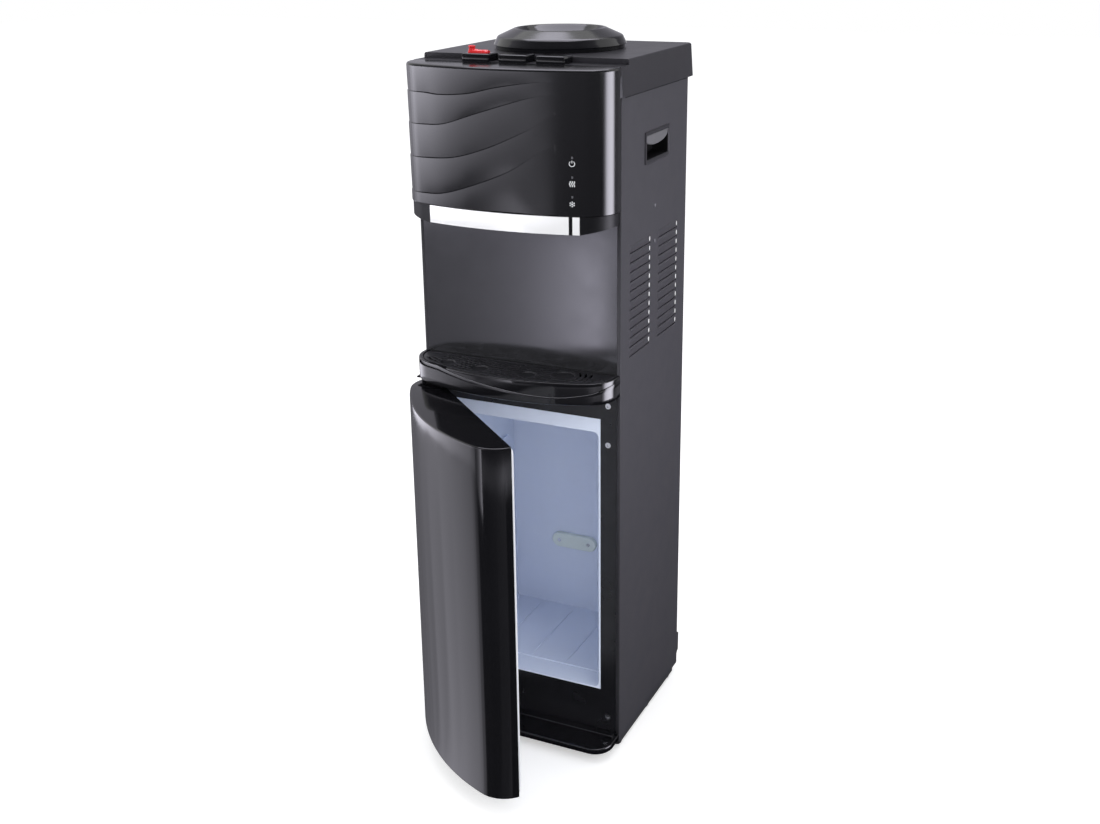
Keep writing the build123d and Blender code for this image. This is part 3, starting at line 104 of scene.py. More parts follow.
def surface(name, color, rough, metallic=0.0, grain=900.0, bump=0.05, mottle=0.08, wave=5.0, coat=0.0,
            rough_var=0.05, specular=0.5, tint=None):
    """A moulded, painted or metal surface: uneven colour and roughness at a broad scale, and a fine grain."""
    mat = bpy.data.materials.new(name)
    mat.use_nodes = True
    tree = mat.node_tree
    shader = tree.nodes["Principled BSDF"]
    shader.inputs["Metallic"].default_value = metallic
    shader.inputs["Coat Weight"].default_value = coat
    shader.inputs["Coat Roughness"].default_value = COAT_ROUGHNESS
    shader.inputs["Specular IOR Level"].default_value = specular
    place = add_node(tree, "TexCoord")

    def noise(scale, detail):
        node = add_node(tree, "TexNoise", Scale=scale, Detail=detail)
        wire(place, "Object", node, "Vector")
        return node

    broad = noise(wave, 3.0)
    ramp = add_node(tree, "ValToRGB")
    stops = ramp.color_ramp.elements
    stops[0].position, stops[1].position = NOISE_SPAN
    stops[0].color = (*[c * (1 - mottle) for c in color], 1.0)
    stops[1].color = (*[min(1.0, c * (1 + mottle)) for c in tint or color], 1.0)
    wire(broad, "Fac", ramp, "Fac")
    wire(ramp, "Color", shader, "Base Color")
    smear = noise(wave * SMEAR_SCALE, 4.0)
    span = add_node(tree, "MapRange", From_Min=NOISE_SPAN[0], From_Max=NOISE_SPAN[1],
                    To_Min=max(LEAST_ROUGHNESS, rough - rough_var), To_Max=rough + rough_var)
    wire(smear, "Fac", span, "Value")
    wire(span, "Result", shader, "Roughness")
    fine = noise(grain, 2.0)
    relief = add_node(tree, "Bump", Strength=bump, Distance=RELIEF_DEPTH)
    wire(fine, "Fac", relief, "Height")
    wire(relief, "Normal", shader, "Normal")
    return mat


def brushed(name, color, rough, along=(1, 1, 40)):
    """Rolled or brushed metal with fine lines across one axis."""
    mat = surface(name, color, rough, metallic=0.9, mottle=0.03, rough_var=0.015, bump=0.03)
    tree = mat.node_tree
    mapping = add_node(tree, "Mapping", Scale=along)
    lines = add_node(tree, "TexNoise", Scale=LINE_SCALE, Detail=5.0)
    wire(tree.nodes["Texture Coordinate"], "Object", mapping, "Vector")
    wire(mapping, "Vector", lines, "Vector")
    relief = tree.nodes["Bump"]
    relief.inputs["Strength"].default_value = LINE_STRENGTH
    wire(lines, "Fac", relief, "Height")
    return mat


MATERIALS = {
    "steel": surface("charcoal_paint", (0.0457, 0.0443, 0.0512), 0.5, grain=1400, bump=0.08, mottle=0.02,
                     rough_var=0.02, specular=0.16),
    "gloss": surface("black_gloss", (0.0055, 0.0055, 0.0068), 0.1, grain=500, bump=0.003, mottle=0.1,
                     rough_var=0.01),
    "panel": surface("flowing_gloss", (0.0055, 0.0055, 0.0068), 0.17, grain=500, bump=0.003, mottle=0.1,
                     rough_var=0.01),
    "collar": surface("collar_gloss", (0.007, 0.007, 0.0085), 0.14, bump=0.02, mottle=0.06, rough_var=0.02),
    "plastic": surface("black_satin_plastic", (0.022, 0.022, 0.025), 0.36, grain=1800, bump=0.1, mottle=0.1),
    "cover": surface("cover_satin_plastic", (0.027, 0.0262, 0.031), 0.3, grain=1800, mottle=0.03,
                     rough_var=0.02, specular=0.18),
    "frame": surface("black_frame_plastic", (0.0095, 0.0095, 0.0115), 0.24, grain=1500, mottle=0.1),
    "recess": surface("dark_gloss_panel", (0.085, 0.085, 0.092), 0.14, metallic=0.75, grain=700, bump=0.006,
                      mottle=0.04, rough_var=0.02),
    # The liner plastic is white; its blue tint is painted light.
    "liner": surface("white_liner_painted_blue", (0.76, 0.83, 1.0), 0.38, mottle=0.02, tint=(0.77, 0.84, 1.0)),
    "sensor": surface("sensor_plastic", (0.8, 0.88, 0.84), 0.4, bump=0.06, mottle=0.04),
    "white": surface("white_plastic", (0.74, 0.75, 0.79), 0.38, mottle=0.03),
    "rubber": surface("white_rubber", (0.78, 0.79, 0.82), 0.62, grain=1600, bump=0.16, mottle=0.04),
    # The strip is chrome. Its near-white base is a painted reflection, so it stays white whatever it faces.
    "trim": surface("chrome_trim_painted_white", (0.9, 0.9, 0.91), 0.24, metallic=0.15, grain=400, bump=0.01, mottle=0.02,
                    coat=0.4),
    "red": surface("red_gloss", (0.62, 0.018, 0.022), 0.22, bump=0.03, mottle=0.1, coat=0.3),
    "foam": surface("foam", (0.8, 0.77, 0.64), 0.9, grain=300, bump=0.8, mottle=0.1, wave=30),
    "zinc": brushed("zinc_sheet", (0.5, 0.51, 0.52), 0.38),
    "bright": surface("bright_steel", (0.72, 0.72, 0.74), 0.2, metallic=1.0, grain=1200),
    "aluminium": brushed("aluminium", (0.66, 0.66, 0.68), 0.34, along=(40, 1, 1)),
    "silicone": surface("silicone", (0.76, 0.76, 0.72), 0.5, bump=0.08, mottle=0.05),
    "board": surface("green_board", (0.02, 0.16, 0.06), 0.34, grain=600, bump=0.12, mottle=0.2, wave=60),
    "lens": surface("clear_lens", (0.06, 0.062, 0.07), 0.16, grain=1500, bump=0.04),
    "print": surface("pale_print", (0.8, 0.81, 0.84), 0.45, grain=2500, bump=0.03, mottle=0.03),
    "perforated": surface("grille_plastic", (0.015, 0.015, 0.0175), 0.38, grain=1500, specular=0.36),
    # Grey of the handle lips, and of the painted highlight along the tray's seam.
    "rim": surface("rim_plastic_and_seam_highlight", (0.115, 0.114, 0.124), 0.42, grain=1800, bump=0.08, mottle=0.05),
    # Pale material for painted highlights: the glints at the louvres' ends.
    "edge": surface("painted_louvre_glint", (0.9, 0.9, 0.9), 0.45, grain=2500, mottle=0.05),
    "shadow": surface("dull_black_plastic", (0.007, 0.007, 0.0085), 0.42, grain=1500, bump=0.06,
                      specular=0.14),
    # Near-black for painted shade: the inside of the handle cups and the strip in the gap under the top cover
    # are made this dark to stand for shade.
    "shade_paint": surface("painted_shade_black", (0.004, 0.004, 0.0045), 0.65, grain=1200, bump=0.1, specular=0.1),
}

# Material of each node's own CAD shape
DRESS = {
    "steel": ["left_side_panel", "right_side_panel"],
    "plastic": ["base_tray", "foot_rails", "handle_pockets", "rear_fan_cover", "water_guard", "fan_frame",
                "drain_outlet", "cord_gland", "switch_housing", "fan_rotor", "cold_switch", "drip_grille",
                "drip_tray", "tray_housing", "front_skirt"],
    "cover": ["top_cover"],
    "collar": ["bottle_collar"],
    "gloss": ["front_panel", "door_shell", "hot_button", "room_button", "cold_button"],
    "recess": ["recess_panel"],
    "liner": ["storage_liner"],
    "sensor": ["sensor_cover"],
    "white": ["hot_tap", "room_tap", "cold_tap", "door_liner"],
    "rubber": ["door_gasket"],
    "trim": ["trim_strip"],
    "red": ["hot_latch", "hot_switch"],
    "foam": ["cabinet_insulation", "cold_tank_jacket", "hot_tank_jacket", "door_insulation"],
    "zinc": ["rear_panel", "equipment_deck", "tank_shelf", "cold_tank", "hot_tank", "power_supply"],
    "bright": ["cabinet_screws", "hot_spring", "room_spring", "cold_spring"],
    "aluminium": ["cooling_module", "heat_sink"],
    "silicone": ["hot_hose", "room_hose", "cold_hose", "feed_hose"],
    "board": ["indicator_board"],
    "lens": ["indicator_lenses"],
    "frame": ["front_frame"],
    "shadow": ["tap_housing", "door_hinges"],
}
for key, names in DRESS.items():
    for name in names:
        for holder in nodes[name].material_slots:
            holder.material = MATERIALS[key]

# ---- mesh helpers

MERGE_DISTANCE = 0.000004
SLIVER_LENGTH = 0.000002
LEAST_RADIUS, CORNER_SHARE = 0.0002, 1.3
SIDES = (("right", 1), ("left", -1))


def build(name, shape, mat, body, sharp=32.0, stands_for=(), tidy=True):
    """One piece from (points, faces), smooth except at sharp edges, hung on a body."""
    mesh = bpy.data.meshes.new(name)
    verts, faces = shape
    mesh.from_pydata(verts, [], faces)
    mesh.materials.append(MATERIALS[mat])
    work = bmesh.new()
    work.from_mesh(mesh)
    bmesh.ops.remove_doubles(work, verts=work.verts, dist=MERGE_DISTANCE)
    bmesh.ops.dissolve_degenerate(work, edges=work.edges, dist=SLIVER_LENGTH)
    if tidy:
        bmesh.ops.recalc_face_normals(work, faces=work.faces)
    work.to_mesh(mesh)
    work.free()
    mesh.shade_smooth()
    mesh.set_sharp_from_angle(angle=radians(sharp))
    piece = bpy.data.objects.new(name, mesh)
    scene.collection.objects.link(piece)
    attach(piece, body)
    if stands_for:
        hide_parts(*stands_for)
    return piece


def rows_to_mesh(rows, closed=False, caps=()):
    """Quads between rows of points; closed joins each row's ends, caps are rows with a face over them."""
    width = len(rows[0])
    verts = [p for row in rows for p in row]
    faces = []
    for r in range(len(rows) - 1):
        for c in range(width if closed else width - 1):
            a = r * width + c
            b = r * width + (c + 1) % width
            faces.append((a, b, b + width, a + width))
    for r in caps:
        start = r % len(rows) * width
        faces.append(tuple(range(start, start + width)))
    return verts, faces


def joined(shapes):
    """Several shapes of points and faces as one."""
    verts, faces = [], []
    for points, quads in shapes:
        start = len(verts)
        verts += points
        faces += [tuple(start + i for i in face) for face in quads]
    return verts, faces


def mirrored(shape, side):
    return [(side * x, y, z) for x, y, z in shape[0]], shape[1]


def lathe(profile, centre, steps=144):
    """Turns (radius, z) points round an upright axis."""
    turns = [2 * pi * k / steps for k in range(steps)]
    rows = [[(centre[0] + radius * cos(a), centre[1] + radius * sin(a), z) for a in turns]
            for radius, z in profile]
    return rows_to_mesh(rows, closed=True)


def curve_at(points, x):
    """Smooth curve through (x, value) points, held level past its ends."""
    if x <= points[0][0]:
        return points[0][1]
    if x >= points[-1][0]:
        return points[-1][1]

    def slope(k):
        low, high = points[max(0, k - 1)], points[min(len(points) - 1, k + 1)]
        return (high[1] - low[1]) / (high[0] - low[0])

    i = next(i for i in range(len(points) - 1) if x <= points[i + 1][0])
    (x0, y0), (x1, y1) = points[i], points[i + 1]
    h = x1 - x0
    t = (x - x0) / h
    return ((2 * t**3 - 3 * t**2 + 1) * y0 + (t**3 - 2 * t**2 + t) * h * slope(i)
            + (3 * t**2 - 2 * t**3) * y1 + (t**3 - t**2) * h * slope(i + 1))


def quarter(steps):
    """Angles of a quarter turn."""
    return [pi / 2 * k / steps for k in range(steps + 1)]


def smooth(t):
    t = min(1.0, max(0.0, t))
    return t * t * (3 - 2 * t)


# Bowed plan that the upper front, the tray and the door share
HALF = 0.1495
SIDE_FLAT = 0.008
FRONT = -0.1225


def bow_arc(bow, corner):
    """Radius of the front arc, and half the angle that it spans."""
    reach = HALF - corner
    drop = SIDE_FLAT - bow
    large = (corner**2 - reach**2 - drop**2) / (2 * (drop + corner))
    return large, atan2(reach, large - bow + SIDE_FLAT)


def bow_plan(bow, corner, inset=0.0, back_y=FRONT, corner_steps=18, front_steps=84):
    """Open outline from the left back end round the front to the right back end."""
    large, sweep = bow_arc(bow, corner)
    centre_y = FRONT - bow + large
    big, small = large - inset, corner - inset
    right_half = []
    for k in range(front_steps + 1):
        a = sweep * k / front_steps
        right_half.append((big * sin(a), centre_y - big * cos(a)))
    for k in range(1, corner_steps + 1):
        a = sweep + (pi / 2 - sweep) * k / corner_steps
        right_half.append((HALF - corner + small * sin(a), FRONT - SIDE_FLAT - small * cos(a)))
    right_half.append((HALF - inset, back_y))
    return [(-x, y) for x, y in reversed(right_half[1:])] + right_half


def bow_front_y(x, bow, corner, inset=0.0):
    """Depth of the bowed outline's front at x."""
    large, sweep = bow_arc(bow, corner)
    if abs(x) <= (large - inset) * sin(sweep):
        return FRONT - bow + large - sqrt((large - inset) ** 2 - x * x)
    return FRONT - SIDE_FLAT - sqrt(max(0.0, (corner - inset) ** 2 - (abs(x) - HALF + corner) ** 2))


def rounded(z0, z1, edge, steps=5):
    """(inset, z) profile of an upright wall with a rounded edge at each end."""
    low = [(edge * (1 - sin(a)), z0 + edge * (1 - cos(a))) for a in quarter(steps)]
    high = [(edge * (1 - sin(a)), z1 - edge * (1 - cos(a))) for a in reversed(quarter(steps))]
    return low + high


def rounded_rect(w, h, radius, steps=6):
    """Closed outline round the origin, anticlockwise from the right side."""
    cx, cy = w / 2 - radius, h / 2 - radius
    points = []
    for start, x, y in ((0, cx, cy), (90, -cx, cy), (180, -cx, -cy), (270, cx, -cy)):
        for k in range(steps + 1):
            a = radians(start + 90 * k / steps)
            points.append((x + radius * cos(a), y + radius * sin(a)))
    return points


def slab(x, y, z, edge, steps=3):
    """A block with rounded edges, as rings from the bottom up."""
    w, d = x[1] - x[0], y[1] - y[0]
    cx, cy = (x[0] + x[1]) / 2, (y[0] + y[1]) / 2
    rows = []
    for inset, level in rounded(z[0], z[1], edge, steps):
        radius = max(LEAST_RADIUS, edge * CORNER_SHARE - inset)
        rows.append([(cx + px, cy + py, level)
                     for px, py in rounded_rect(w - 2 * inset, d - 2 * inset, radius, 4)])
    return rows_to_mesh(rows, closed=True, caps=(0, -1))


# ---- door

DOOR_BOW, DOOR_CORNER = 0.074, 0.045
DOOR_Z = (0.031, 0.543)
DOOR_BACK = -0.1283
DOOR_EDGE = 0.0022
HINGE = Vector((-0.1415, -0.1458, 0.0))
DOOR_OPEN = radians(-41.5)


def door_shell():
    """Bowed front of the door, made closed and then turned about the hinge to where the photo has it."""
    rows = [[(x, y, z) for x, y in bow_plan(DOOR_BOW, DOOR_CORNER, inset, DOOR_BACK)]
            for inset, z in rounded(*DOOR_Z, DOOR_EDGE, 6)]
    piece = build("door_front", rows_to_mesh(rows, closed=True, caps=(0, -1)), "gloss", "door",
                  stands_for=["door_shell"])
    opened = Matrix.Translation(HINGE) @ Matrix.Rotation(DOOR_OPEN, 4, "Z") @ Matrix.Translation(-HINGE)
    piece.data.transform(opened)


door_shell()

# ---- upper front with its flowing steps

PANEL_BOW, PANEL_CORNER = 0.062, 0.04
PANEL_Z = (0.8032, 0.986)
PANEL_WALL = 0.003
PANEL_FOLD = 0.012
PANEL_TOP_EDGE = 0.0032
# (x, z) points of each crease, from the left end to where it fades out
CREASES = (
    ((-0.15, 0.95), (-0.107, 0.9508), (-0.082, 0.9496), (-0.037, 0.9533), (0.005, 0.9625), (0.054, 0.9695),
     (0.076, 0.9708), (0.101, 0.9664)),
    ((-0.15, 0.9085), (-0.109, 0.9096), (-0.076, 0.9127), (-0.027, 0.928), (0.015, 0.941), (0.054, 0.9515),
     (0.084, 0.9568), (0.101, 0.9605)),
    ((-0.15, 0.8648), (-0.111, 0.8659), (-0.062, 0.8703), (-0.017, 0.8832), (0.024, 0.9), (0.053, 0.914),
     (0.078, 0.93), (0.101, 0.944)),
    ((-0.15, 0.8178), (-0.113, 0.8186), (-0.08, 0.8216), (-0.029, 0.8375), (0.023, 0.859), (0.062, 0.883),
     (0.095, 0.8975), (0.104, 0.9005)),
)
STEP_HEIGHT = 0.0011
STEP_DEPTH = 0.0023
LEAST_STEP = 0.00001
BAND_CURVE = 1.7
LOW_BAND_HEIGHT = 0.046
FADE_END, FADE_LENGTH = 0.084, 0.09
LEFT_FADE, LEFT_SHARE = 0.05, 0.3


def panel_profile(x):
    """(inward, z) points of the panel's face at x, from its rounded top edge to the fold at its foot."""
    left = LEFT_SHARE + (1 - LEFT_SHARE) * smooth((x + HALF) / LEFT_FADE)
    depth = STEP_DEPTH * smooth((FADE_END - x) / FADE_LENGTH) * left
    step = LEAST_STEP + STEP_HEIGHT * depth / STEP_DEPTH
    edge = PANEL_TOP_EDGE
    points = [(edge * (1 - cos(a)), PANEL_Z[1] - edge * (1 - sin(a))) for a in reversed(quarter(8))]
    high = PANEL_Z[1] - edge
    for band, crease in enumerate(CREASES):
        low = curve_at(crease, x)
        for k in range(1 if band == 0 else 0, 13):
            points.append((depth * (k / 12) ** BAND_CURVE, high - (high - low) * k / 12))
        high = low - step
    foot = PANEL_Z[0]
    low = foot + 0.0012
    for k in range(9):
        z = high + (low - high) * k / 8
        points.append((depth * max(0.0, (high - z) / LOW_BAND_HEIGHT) ** BAND_CURVE, z))
    last = depth * max(0.0, (high - low) / LOW_BAND_HEIGHT) ** BAND_CURVE
    return points + [(last + 0.0004, foot + 0.0004), (last + 0.0012, foot), (last + PANEL_WALL, foot),
                     (last + PANEL_WALL, foot + PANEL_FOLD)]


def front_panel():
    """Bowed upper front: each band of its face bulges out over a step that fades to the right."""
    plan, inner = [bow_plan(PANEL_BOW, PANEL_CORNER, inset, FRONT, corner_steps=26, front_steps=130)
                   for inset in (0.0, 0.004)]
    columns = []
    for (x, y), (inner_x, inner_y) in zip(plan, inner):
        away = Vector((x - inner_x, y - inner_y)).normalized()
        columns.append([(x - away.x * inward, y - away.y * inward, z) for inward, z in panel_profile(x)])
    rows = list(zip(*columns))
    build("front_panel_shell", rows_to_mesh(rows, caps=[0]), "panel", "cabinet", sharp=14,
          stands_for=["front_panel"])


front_panel()

SYMBOL_X = 0.104
SYMBOL_LEVELS = (0.8707, 0.8452, 0.8195)
SYMBOL_LIFT = 0.0002
RING_RADIUS, RING_START, RING_TURN = 0.0034, 34, 292
RING_STROKE = (0.0008, 0.0041)
WAVE_SPACING, WAVE_SWING, WAVE_HEIGHT = 0.0027, 0.0007, 0.0072
FLAKE_ARM, FLAKE_FORK, FLAKE_BARB, FLAKE_LEAN = 0.0038, 0.0021, 0.0015, 0.7
RING_LINE, WAVE_LINE, ARM_LINE, BARB_LINE = 0.00075, 0.0009, 0.0005, 0.0004


def band_edges(points, width):
    """Left and right edge of a band of one width along 2-D points."""
    left_edge, right_edge = [], []
    for i, (x, y) in enumerate(points):
        before, after = points[max(0, i - 1)], points[min(len(points) - 1, i + 1)]
        dx, dy = after[0] - before[0], after[1] - before[1]
        size = hypot(dx, dy)
        left_edge.append((x - dy / size * width / 2, y + dx / size * width / 2))
        right_edge.append((x + dy / size * width / 2, y - dx / size * width / 2))
    return left_edge, right_edge


def symbols():
    """Marks beside the three lamps: power, heat and cold."""
    marks = []

    def add(points, width):
        marks.append(rows_to_mesh([
            [(x, bow_front_y(x, PANEL_BOW, PANEL_CORNER) - SYMBOL_LIFT, z) for x, z in edge]
            for edge in band_edges(points, width)]))

    cx = SYMBOL_X
    power_z, heat_z, cold_z = SYMBOL_LEVELS
    turns = [radians(RING_START + RING_TURN * k / 36) for k in range(37)]
    add([(cx + RING_RADIUS * sin(a), power_z + RING_RADIUS * cos(a)) for a in turns], RING_LINE)
    add([(cx, power_z + z) for z in RING_STROKE], RING_LINE)
    for offset in (-WAVE_SPACING, 0.0, WAVE_SPACING):
        add([(cx + offset + WAVE_SWING * sin(k * pi / 6), heat_z + WAVE_HEIGHT * (k / 18 - 0.5))
             for k in range(19)], WAVE_LINE)
    for number in range(3):
        dx, dz = FLAKE_ARM * sin(number * pi / 3), FLAKE_ARM * cos(number * pi / 3)
        add([(cx - dx, cold_z - dz), (cx + dx, cold_z + dz)], ARM_LINE)
    for number in range(6):
        a = number * pi / 3
        x, z = cx + FLAKE_FORK * sin(a), cold_z + FLAKE_FORK * cos(a)
        for lean in (a - FLAKE_LEAN, a + FLAKE_LEAN):
            add([(x, z), (x + FLAKE_BARB * sin(lean), z + FLAKE_BARB * cos(lean))], BARB_LINE)
    build("lamp_symbols", joined(marks), "print", "cabinet", tidy=False)


symbols()

# ---- bright strip over the taps

TRIM_Z = (0.7794, 0.8026)
TRIM_STEP = 0.002
# (inset, distance from the edge) points of the strip's rounded border
TRIM_BORDER = ((0.0014, 0.0), (0.0004, 0.0), (0.0001, 0.0002), (0.0, 0.0006))


def trim_piece(name, x0, x1):
    """A length of the strip between two places along the bowed front."""
    section = [(inset, TRIM_Z[0] + away) for inset, away in TRIM_BORDER]
    section += [(inset, TRIM_Z[1] - away) for inset, away in reversed(TRIM_BORDER)]
    steps = max(6, int((x1 - x0) / TRIM_STEP))
    xs = [x0 + (x1 - x0) * k / steps for k in range(steps + 1)]
    rows = [[(x, bow_front_y(x, PANEL_BOW, PANEL_CORNER, inset), z) for x in xs] for inset, z in section]
    verts, faces = rows_to_mesh(rows)
    width = len(xs)
    for end in (0, width - 1):
        faces.append(tuple(r * width + end for r in range(len(section))))
    build(name, (verts, faces), "trim", "cabinet", stands_for=["trim_strip"])


trim_piece("trim_long", -0.104, 0.0989)
trim_piece("trim_short", 0.104, 0.1126)

# ---- drip tray

TRAY_BOW, TRAY_CORNER = 0.072, 0.045
TRAY_Z = (0.55, 0.581)
TRAY_BACK = FRONT - 0.0005
TRAY_STEPS = {"corner_steps": 26, "front_steps": 120}
TRAY_FOOT_EDGE, TRAY_RIM_EDGE = 0.0022, 0.002
TRAY_FOLD = 0.0034
LEAST_BAND = 0.0006
THIN_BAND_INSET, THIN_BAND_DROP = 0.004, 0.0016
# (x, z) points of the seam between the tray and its housing; past the first it keeps to a slope
SPLIT = ((-0.105, 0.5815), (-0.027, 0.569), (0.075, 0.5602), (0.126, 0.566), (0.151, 0.575))
SPLIT_SLOPE = 0.2
BASIN = ((0.006, 0.5773), (0.009, 0.5773), (0.009, 0.5743), (0.006, 0.573), (0.0066, 0.5565), (0.008, 0.5554))
BASIN_BACK = -0.1252
UNDERSIDE_INSET, UNDERSIDE_BACK = 0.0042, -0.1232
UNDERSIDE_Z = (0.5772, 0.5533)


def split_at(x):
    if x < SPLIT[0][0]:
        return SPLIT[0][1] + (SPLIT[0][0] - x) * SPLIT_SLOPE
    return curve_at(SPLIT, x)


def housing_profile(split):
    """(inset, z) points of the housing's wall, from its rounded foot to the fold at the seam."""
    foot = TRAY_Z[0] + TRAY_FOOT_EDGE
    profile = [(round(TRAY_FOOT_EDGE * (1 - sin(a)), 6), foot - TRAY_FOOT_EDGE * cos(a)) for a in quarter(5)]
    top = min(TRAY_Z[1] - LEAST_BAND, split)
    profile += [(0.0, foot + (top - 0.0005 - foot) * k / 4) for k in range(1, 5)]
    return profile + [(0.0002, top - 0.0001), (0.0005, top), (TRAY_FOLD, top), (TRAY_FOLD, top - 0.004)]


def band_profile(split):
    """(inset, z) points of the tray's wall, from the fold at the seam over the rim to the basin."""
    low = min(split + 0.0004, TRAY_Z[1] - LEAST_BAND)
    rim = TRAY_Z[1]
    profile = [(TRAY_FOLD, low + 0.0003), (0.0012, low), (0.0007, low + 0.00005), (0.0003, low + 0.0003)]
    room = rim - TRAY_RIM_EDGE - (low + 0.0006)
    if room > 0.0003:
        profile += [(0.0, low + 0.0006 + room * k / 3) for k in range(4)]
        profile += [(round(TRAY_RIM_EDGE * (1 - cos(a)), 6), rim - TRAY_RIM_EDGE * (1 - sin(a)))
                    for a in quarter(5)[1:]]
    else:
        profile += [(THIN_BAND_INSET, rim - THIN_BAND_DROP * (1 - k / 5))
                    for k in (0, 0, 0, 0, 1, 2, 3, 4, 5)]
    return profile + [(0.005, rim), (0.0058, rim - 0.0004), (0.006, rim - 0.0012), BASIN[0]]


@cache
def tray_plan(inset, back_y=TRAY_BACK):
    return bow_plan(TRAY_BOW, TRAY_CORNER, inset, back_y, **TRAY_STEPS)


def tray_wall(profile_at):
    """Rows of a wall along the tray's plan, with a profile that follows the seam."""
    columns = []
    for i, (x, _) in enumerate(tray_plan(0.0)):
        columns.append([(*tray_plan(inset)[i], z) for inset, z in profile_at(split_at(x))])
    return list(zip(*columns))


def tray_shells():
    """The fixed housing below the seam, and the tray above it with its basin and underside."""
    build("tray_body", rows_to_mesh(tray_wall(housing_profile), caps=[0]), "gloss", "cabinet",
          stands_for=["tray_housing"])
    basin = [[(x, y, z) for x, y in tray_plan(inset, BASIN_BACK)] for inset, z in BASIN]
    under = [[(x, y, z) for x, y in tray_plan(UNDERSIDE_INSET, UNDERSIDE_BACK)] for z in UNDERSIDE_Z]
    band = joined([rows_to_mesh(tray_wall(band_profile)), rows_to_mesh(basin, closed=True, caps=[-1]),
                   rows_to_mesh(under, closed=True, caps=[-1])])
    build("tray_band", band, "gloss", "tray", stands_for=["drip_tray"], tidy=False)


tray_shells()

# Size and place of the painted highlight strip along the tray's seam
SEAM_GLINT_START, SEAM_GLINT_LENGTH = -0.104, 0.24
SEAM_GLINT_HALF, SEAM_GLINT_END, SEAM_GLINT_SWELL = 0.0003, 0.00008, 0.08
SEAM_GLINT_LIFT, SEAM_GLINT_SINK = 0.0002, 0.0003


def tray_line():
    """Painted highlight along the seam between the tray and its housing: a thin grey strip that stands for
    the light on the seam's edge.
    """
    rows = [[], [], []]
    for k in range(121):
        x = SEAM_GLINT_START + SEAM_GLINT_LENGTH * k / 120
        y, z = bow_front_y(x, TRAY_BOW, TRAY_CORNER), split_at(x)
        half = SEAM_GLINT_HALF * smooth((x - SEAM_GLINT_START) / SEAM_GLINT_SWELL) + SEAM_GLINT_END
        for row, out, level in zip(rows, (-SEAM_GLINT_SINK, SEAM_GLINT_LIFT, -SEAM_GLINT_SINK), (z - half, z, z + half)):
            row.append((x, y - out, level))
    build("tray_seam_highlight", rows_to_mesh(rows), "rim", "tray", sharp=80, tidy=False)


tray_line()

# Cup rests of the grille: x, y and radius
CUPS = ((-0.094, -0.158, 0.011), (-0.04, -0.165, 0.0125), (0.031, -0.163, 0.0125), (0.078, -0.147, 0.016))
ARC_CUP = CUPS[3]
GRILLE_Z, GRILLE_EDGE = 0.57875, 0.0002
GRILLE_HALF_THICKNESS = 0.00125
GRILLE_INSET, GRILLE_BACK, PLATE_EDGE = 0.007, -0.1255, 0.0068
SLOT_ROWS, SLOT_PITCH, FIRST_SLOT_INSET = 8, 0.007, 0.014
SLOT_X = (-0.128, 0.132)
SLOT_SHIFT, SLOT_STEP, SLOT_BRIDGE = 0.008, 0.002, 0.0045
SLOT_LENGTHS = (0.03, 0.026, 0.034)
SLOT_WIDTH, SLOT_SIDE, SLOT_BACK, SLOT_FRONT = 0.0032, 0.002, -0.131, 0.0042
ARC_WIDTH, ARC_SIDE, ARC_BACK, ARC_FRONT = 0.0034, 0.139, -0.1305, 0.004
ARC_RINGS, ARC_FIRST, ARC_PITCH = 3, 0.0065, 0.0075
ARC_SPANS = ((-58, -8), (0, 52))
ARC_ZONE, ARC_ZONE_LEFT = 0.0245, 0.01
CUP_CLEARANCE = 0.0028
# (inset, z) points of a cup rest's wall
CUP_WALL = ((0.0, 0.5801), (0.0006, 0.58), (0.0014, 0.5793), (0.002, 0.5785))
CUP_CORE = 0.0001
FEWEST_POINTS = 5


def slot_loop(points, width):
    """Closed loop round a run of points, with round ends."""
    left_edge, right_edge = band_edges(points, width)

    def cap(p, q):
        mx, my = (p[0] + q[0]) / 2, (p[1] + q[1]) / 2
        start = atan2(q[1] - my, q[0] - mx)
        return [(mx + width / 2 * cos(start - pi * k / 5), my + width / 2 * sin(start - pi * k / 5))
                for k in range(1, 5)]

    return (left_edge + cap(right_edge[-1], left_edge[-1])
            + right_edge[::-1] + cap(left_edge[0], right_edge[0]))


def on_plate(x, y, back_y, rim):
    return y < back_y and bow_front_y(x, TRAY_BOW, TRAY_CORNER, PLATE_EDGE) + rim < y


def clear_of_cups(x, y):
    """Whether a slot may pass here: off the cup rests, off the arcs and inside the plate."""
    for cx, cy, cr in CUPS:
        arcs = ARC_ZONE if (cx, cy, cr) == ARC_CUP and x > cx - ARC_ZONE_LEFT else 0.0
        if hypot(x - cx, y - cy) < cr + arcs + CUP_CLEARANCE:
            return False
    return on_plate(x, y, SLOT_BACK, SLOT_FRONT)


def row_slots(row):
    """Loops of the slots in one row, which runs with the plate's front edge."""
    loops = []
    inset = FIRST_SLOT_INSET + row * SLOT_PITCH
    run, used = [], 0.0
    x = SLOT_X[0] + (row % 3) * SLOT_SHIFT
    while x < SLOT_X[1]:
        y = bow_front_y(x, TRAY_BOW, TRAY_CORNER, inset)
        clear = clear_of_cups(x, y)
        if clear and abs(x) < HALF - inset - SLOT_SIDE:
            run.append((x, y))
            used += SLOT_STEP
        if not clear or used >= SLOT_LENGTHS[row % 3]:
            loops.append(run)
            run, used = [], 0.0
            x += SLOT_BRIDGE
        x += SLOT_STEP
    loops.append(run)
    return [slot_loop(run, SLOT_WIDTH) for run in loops if len(run) >= FEWEST_POINTS]


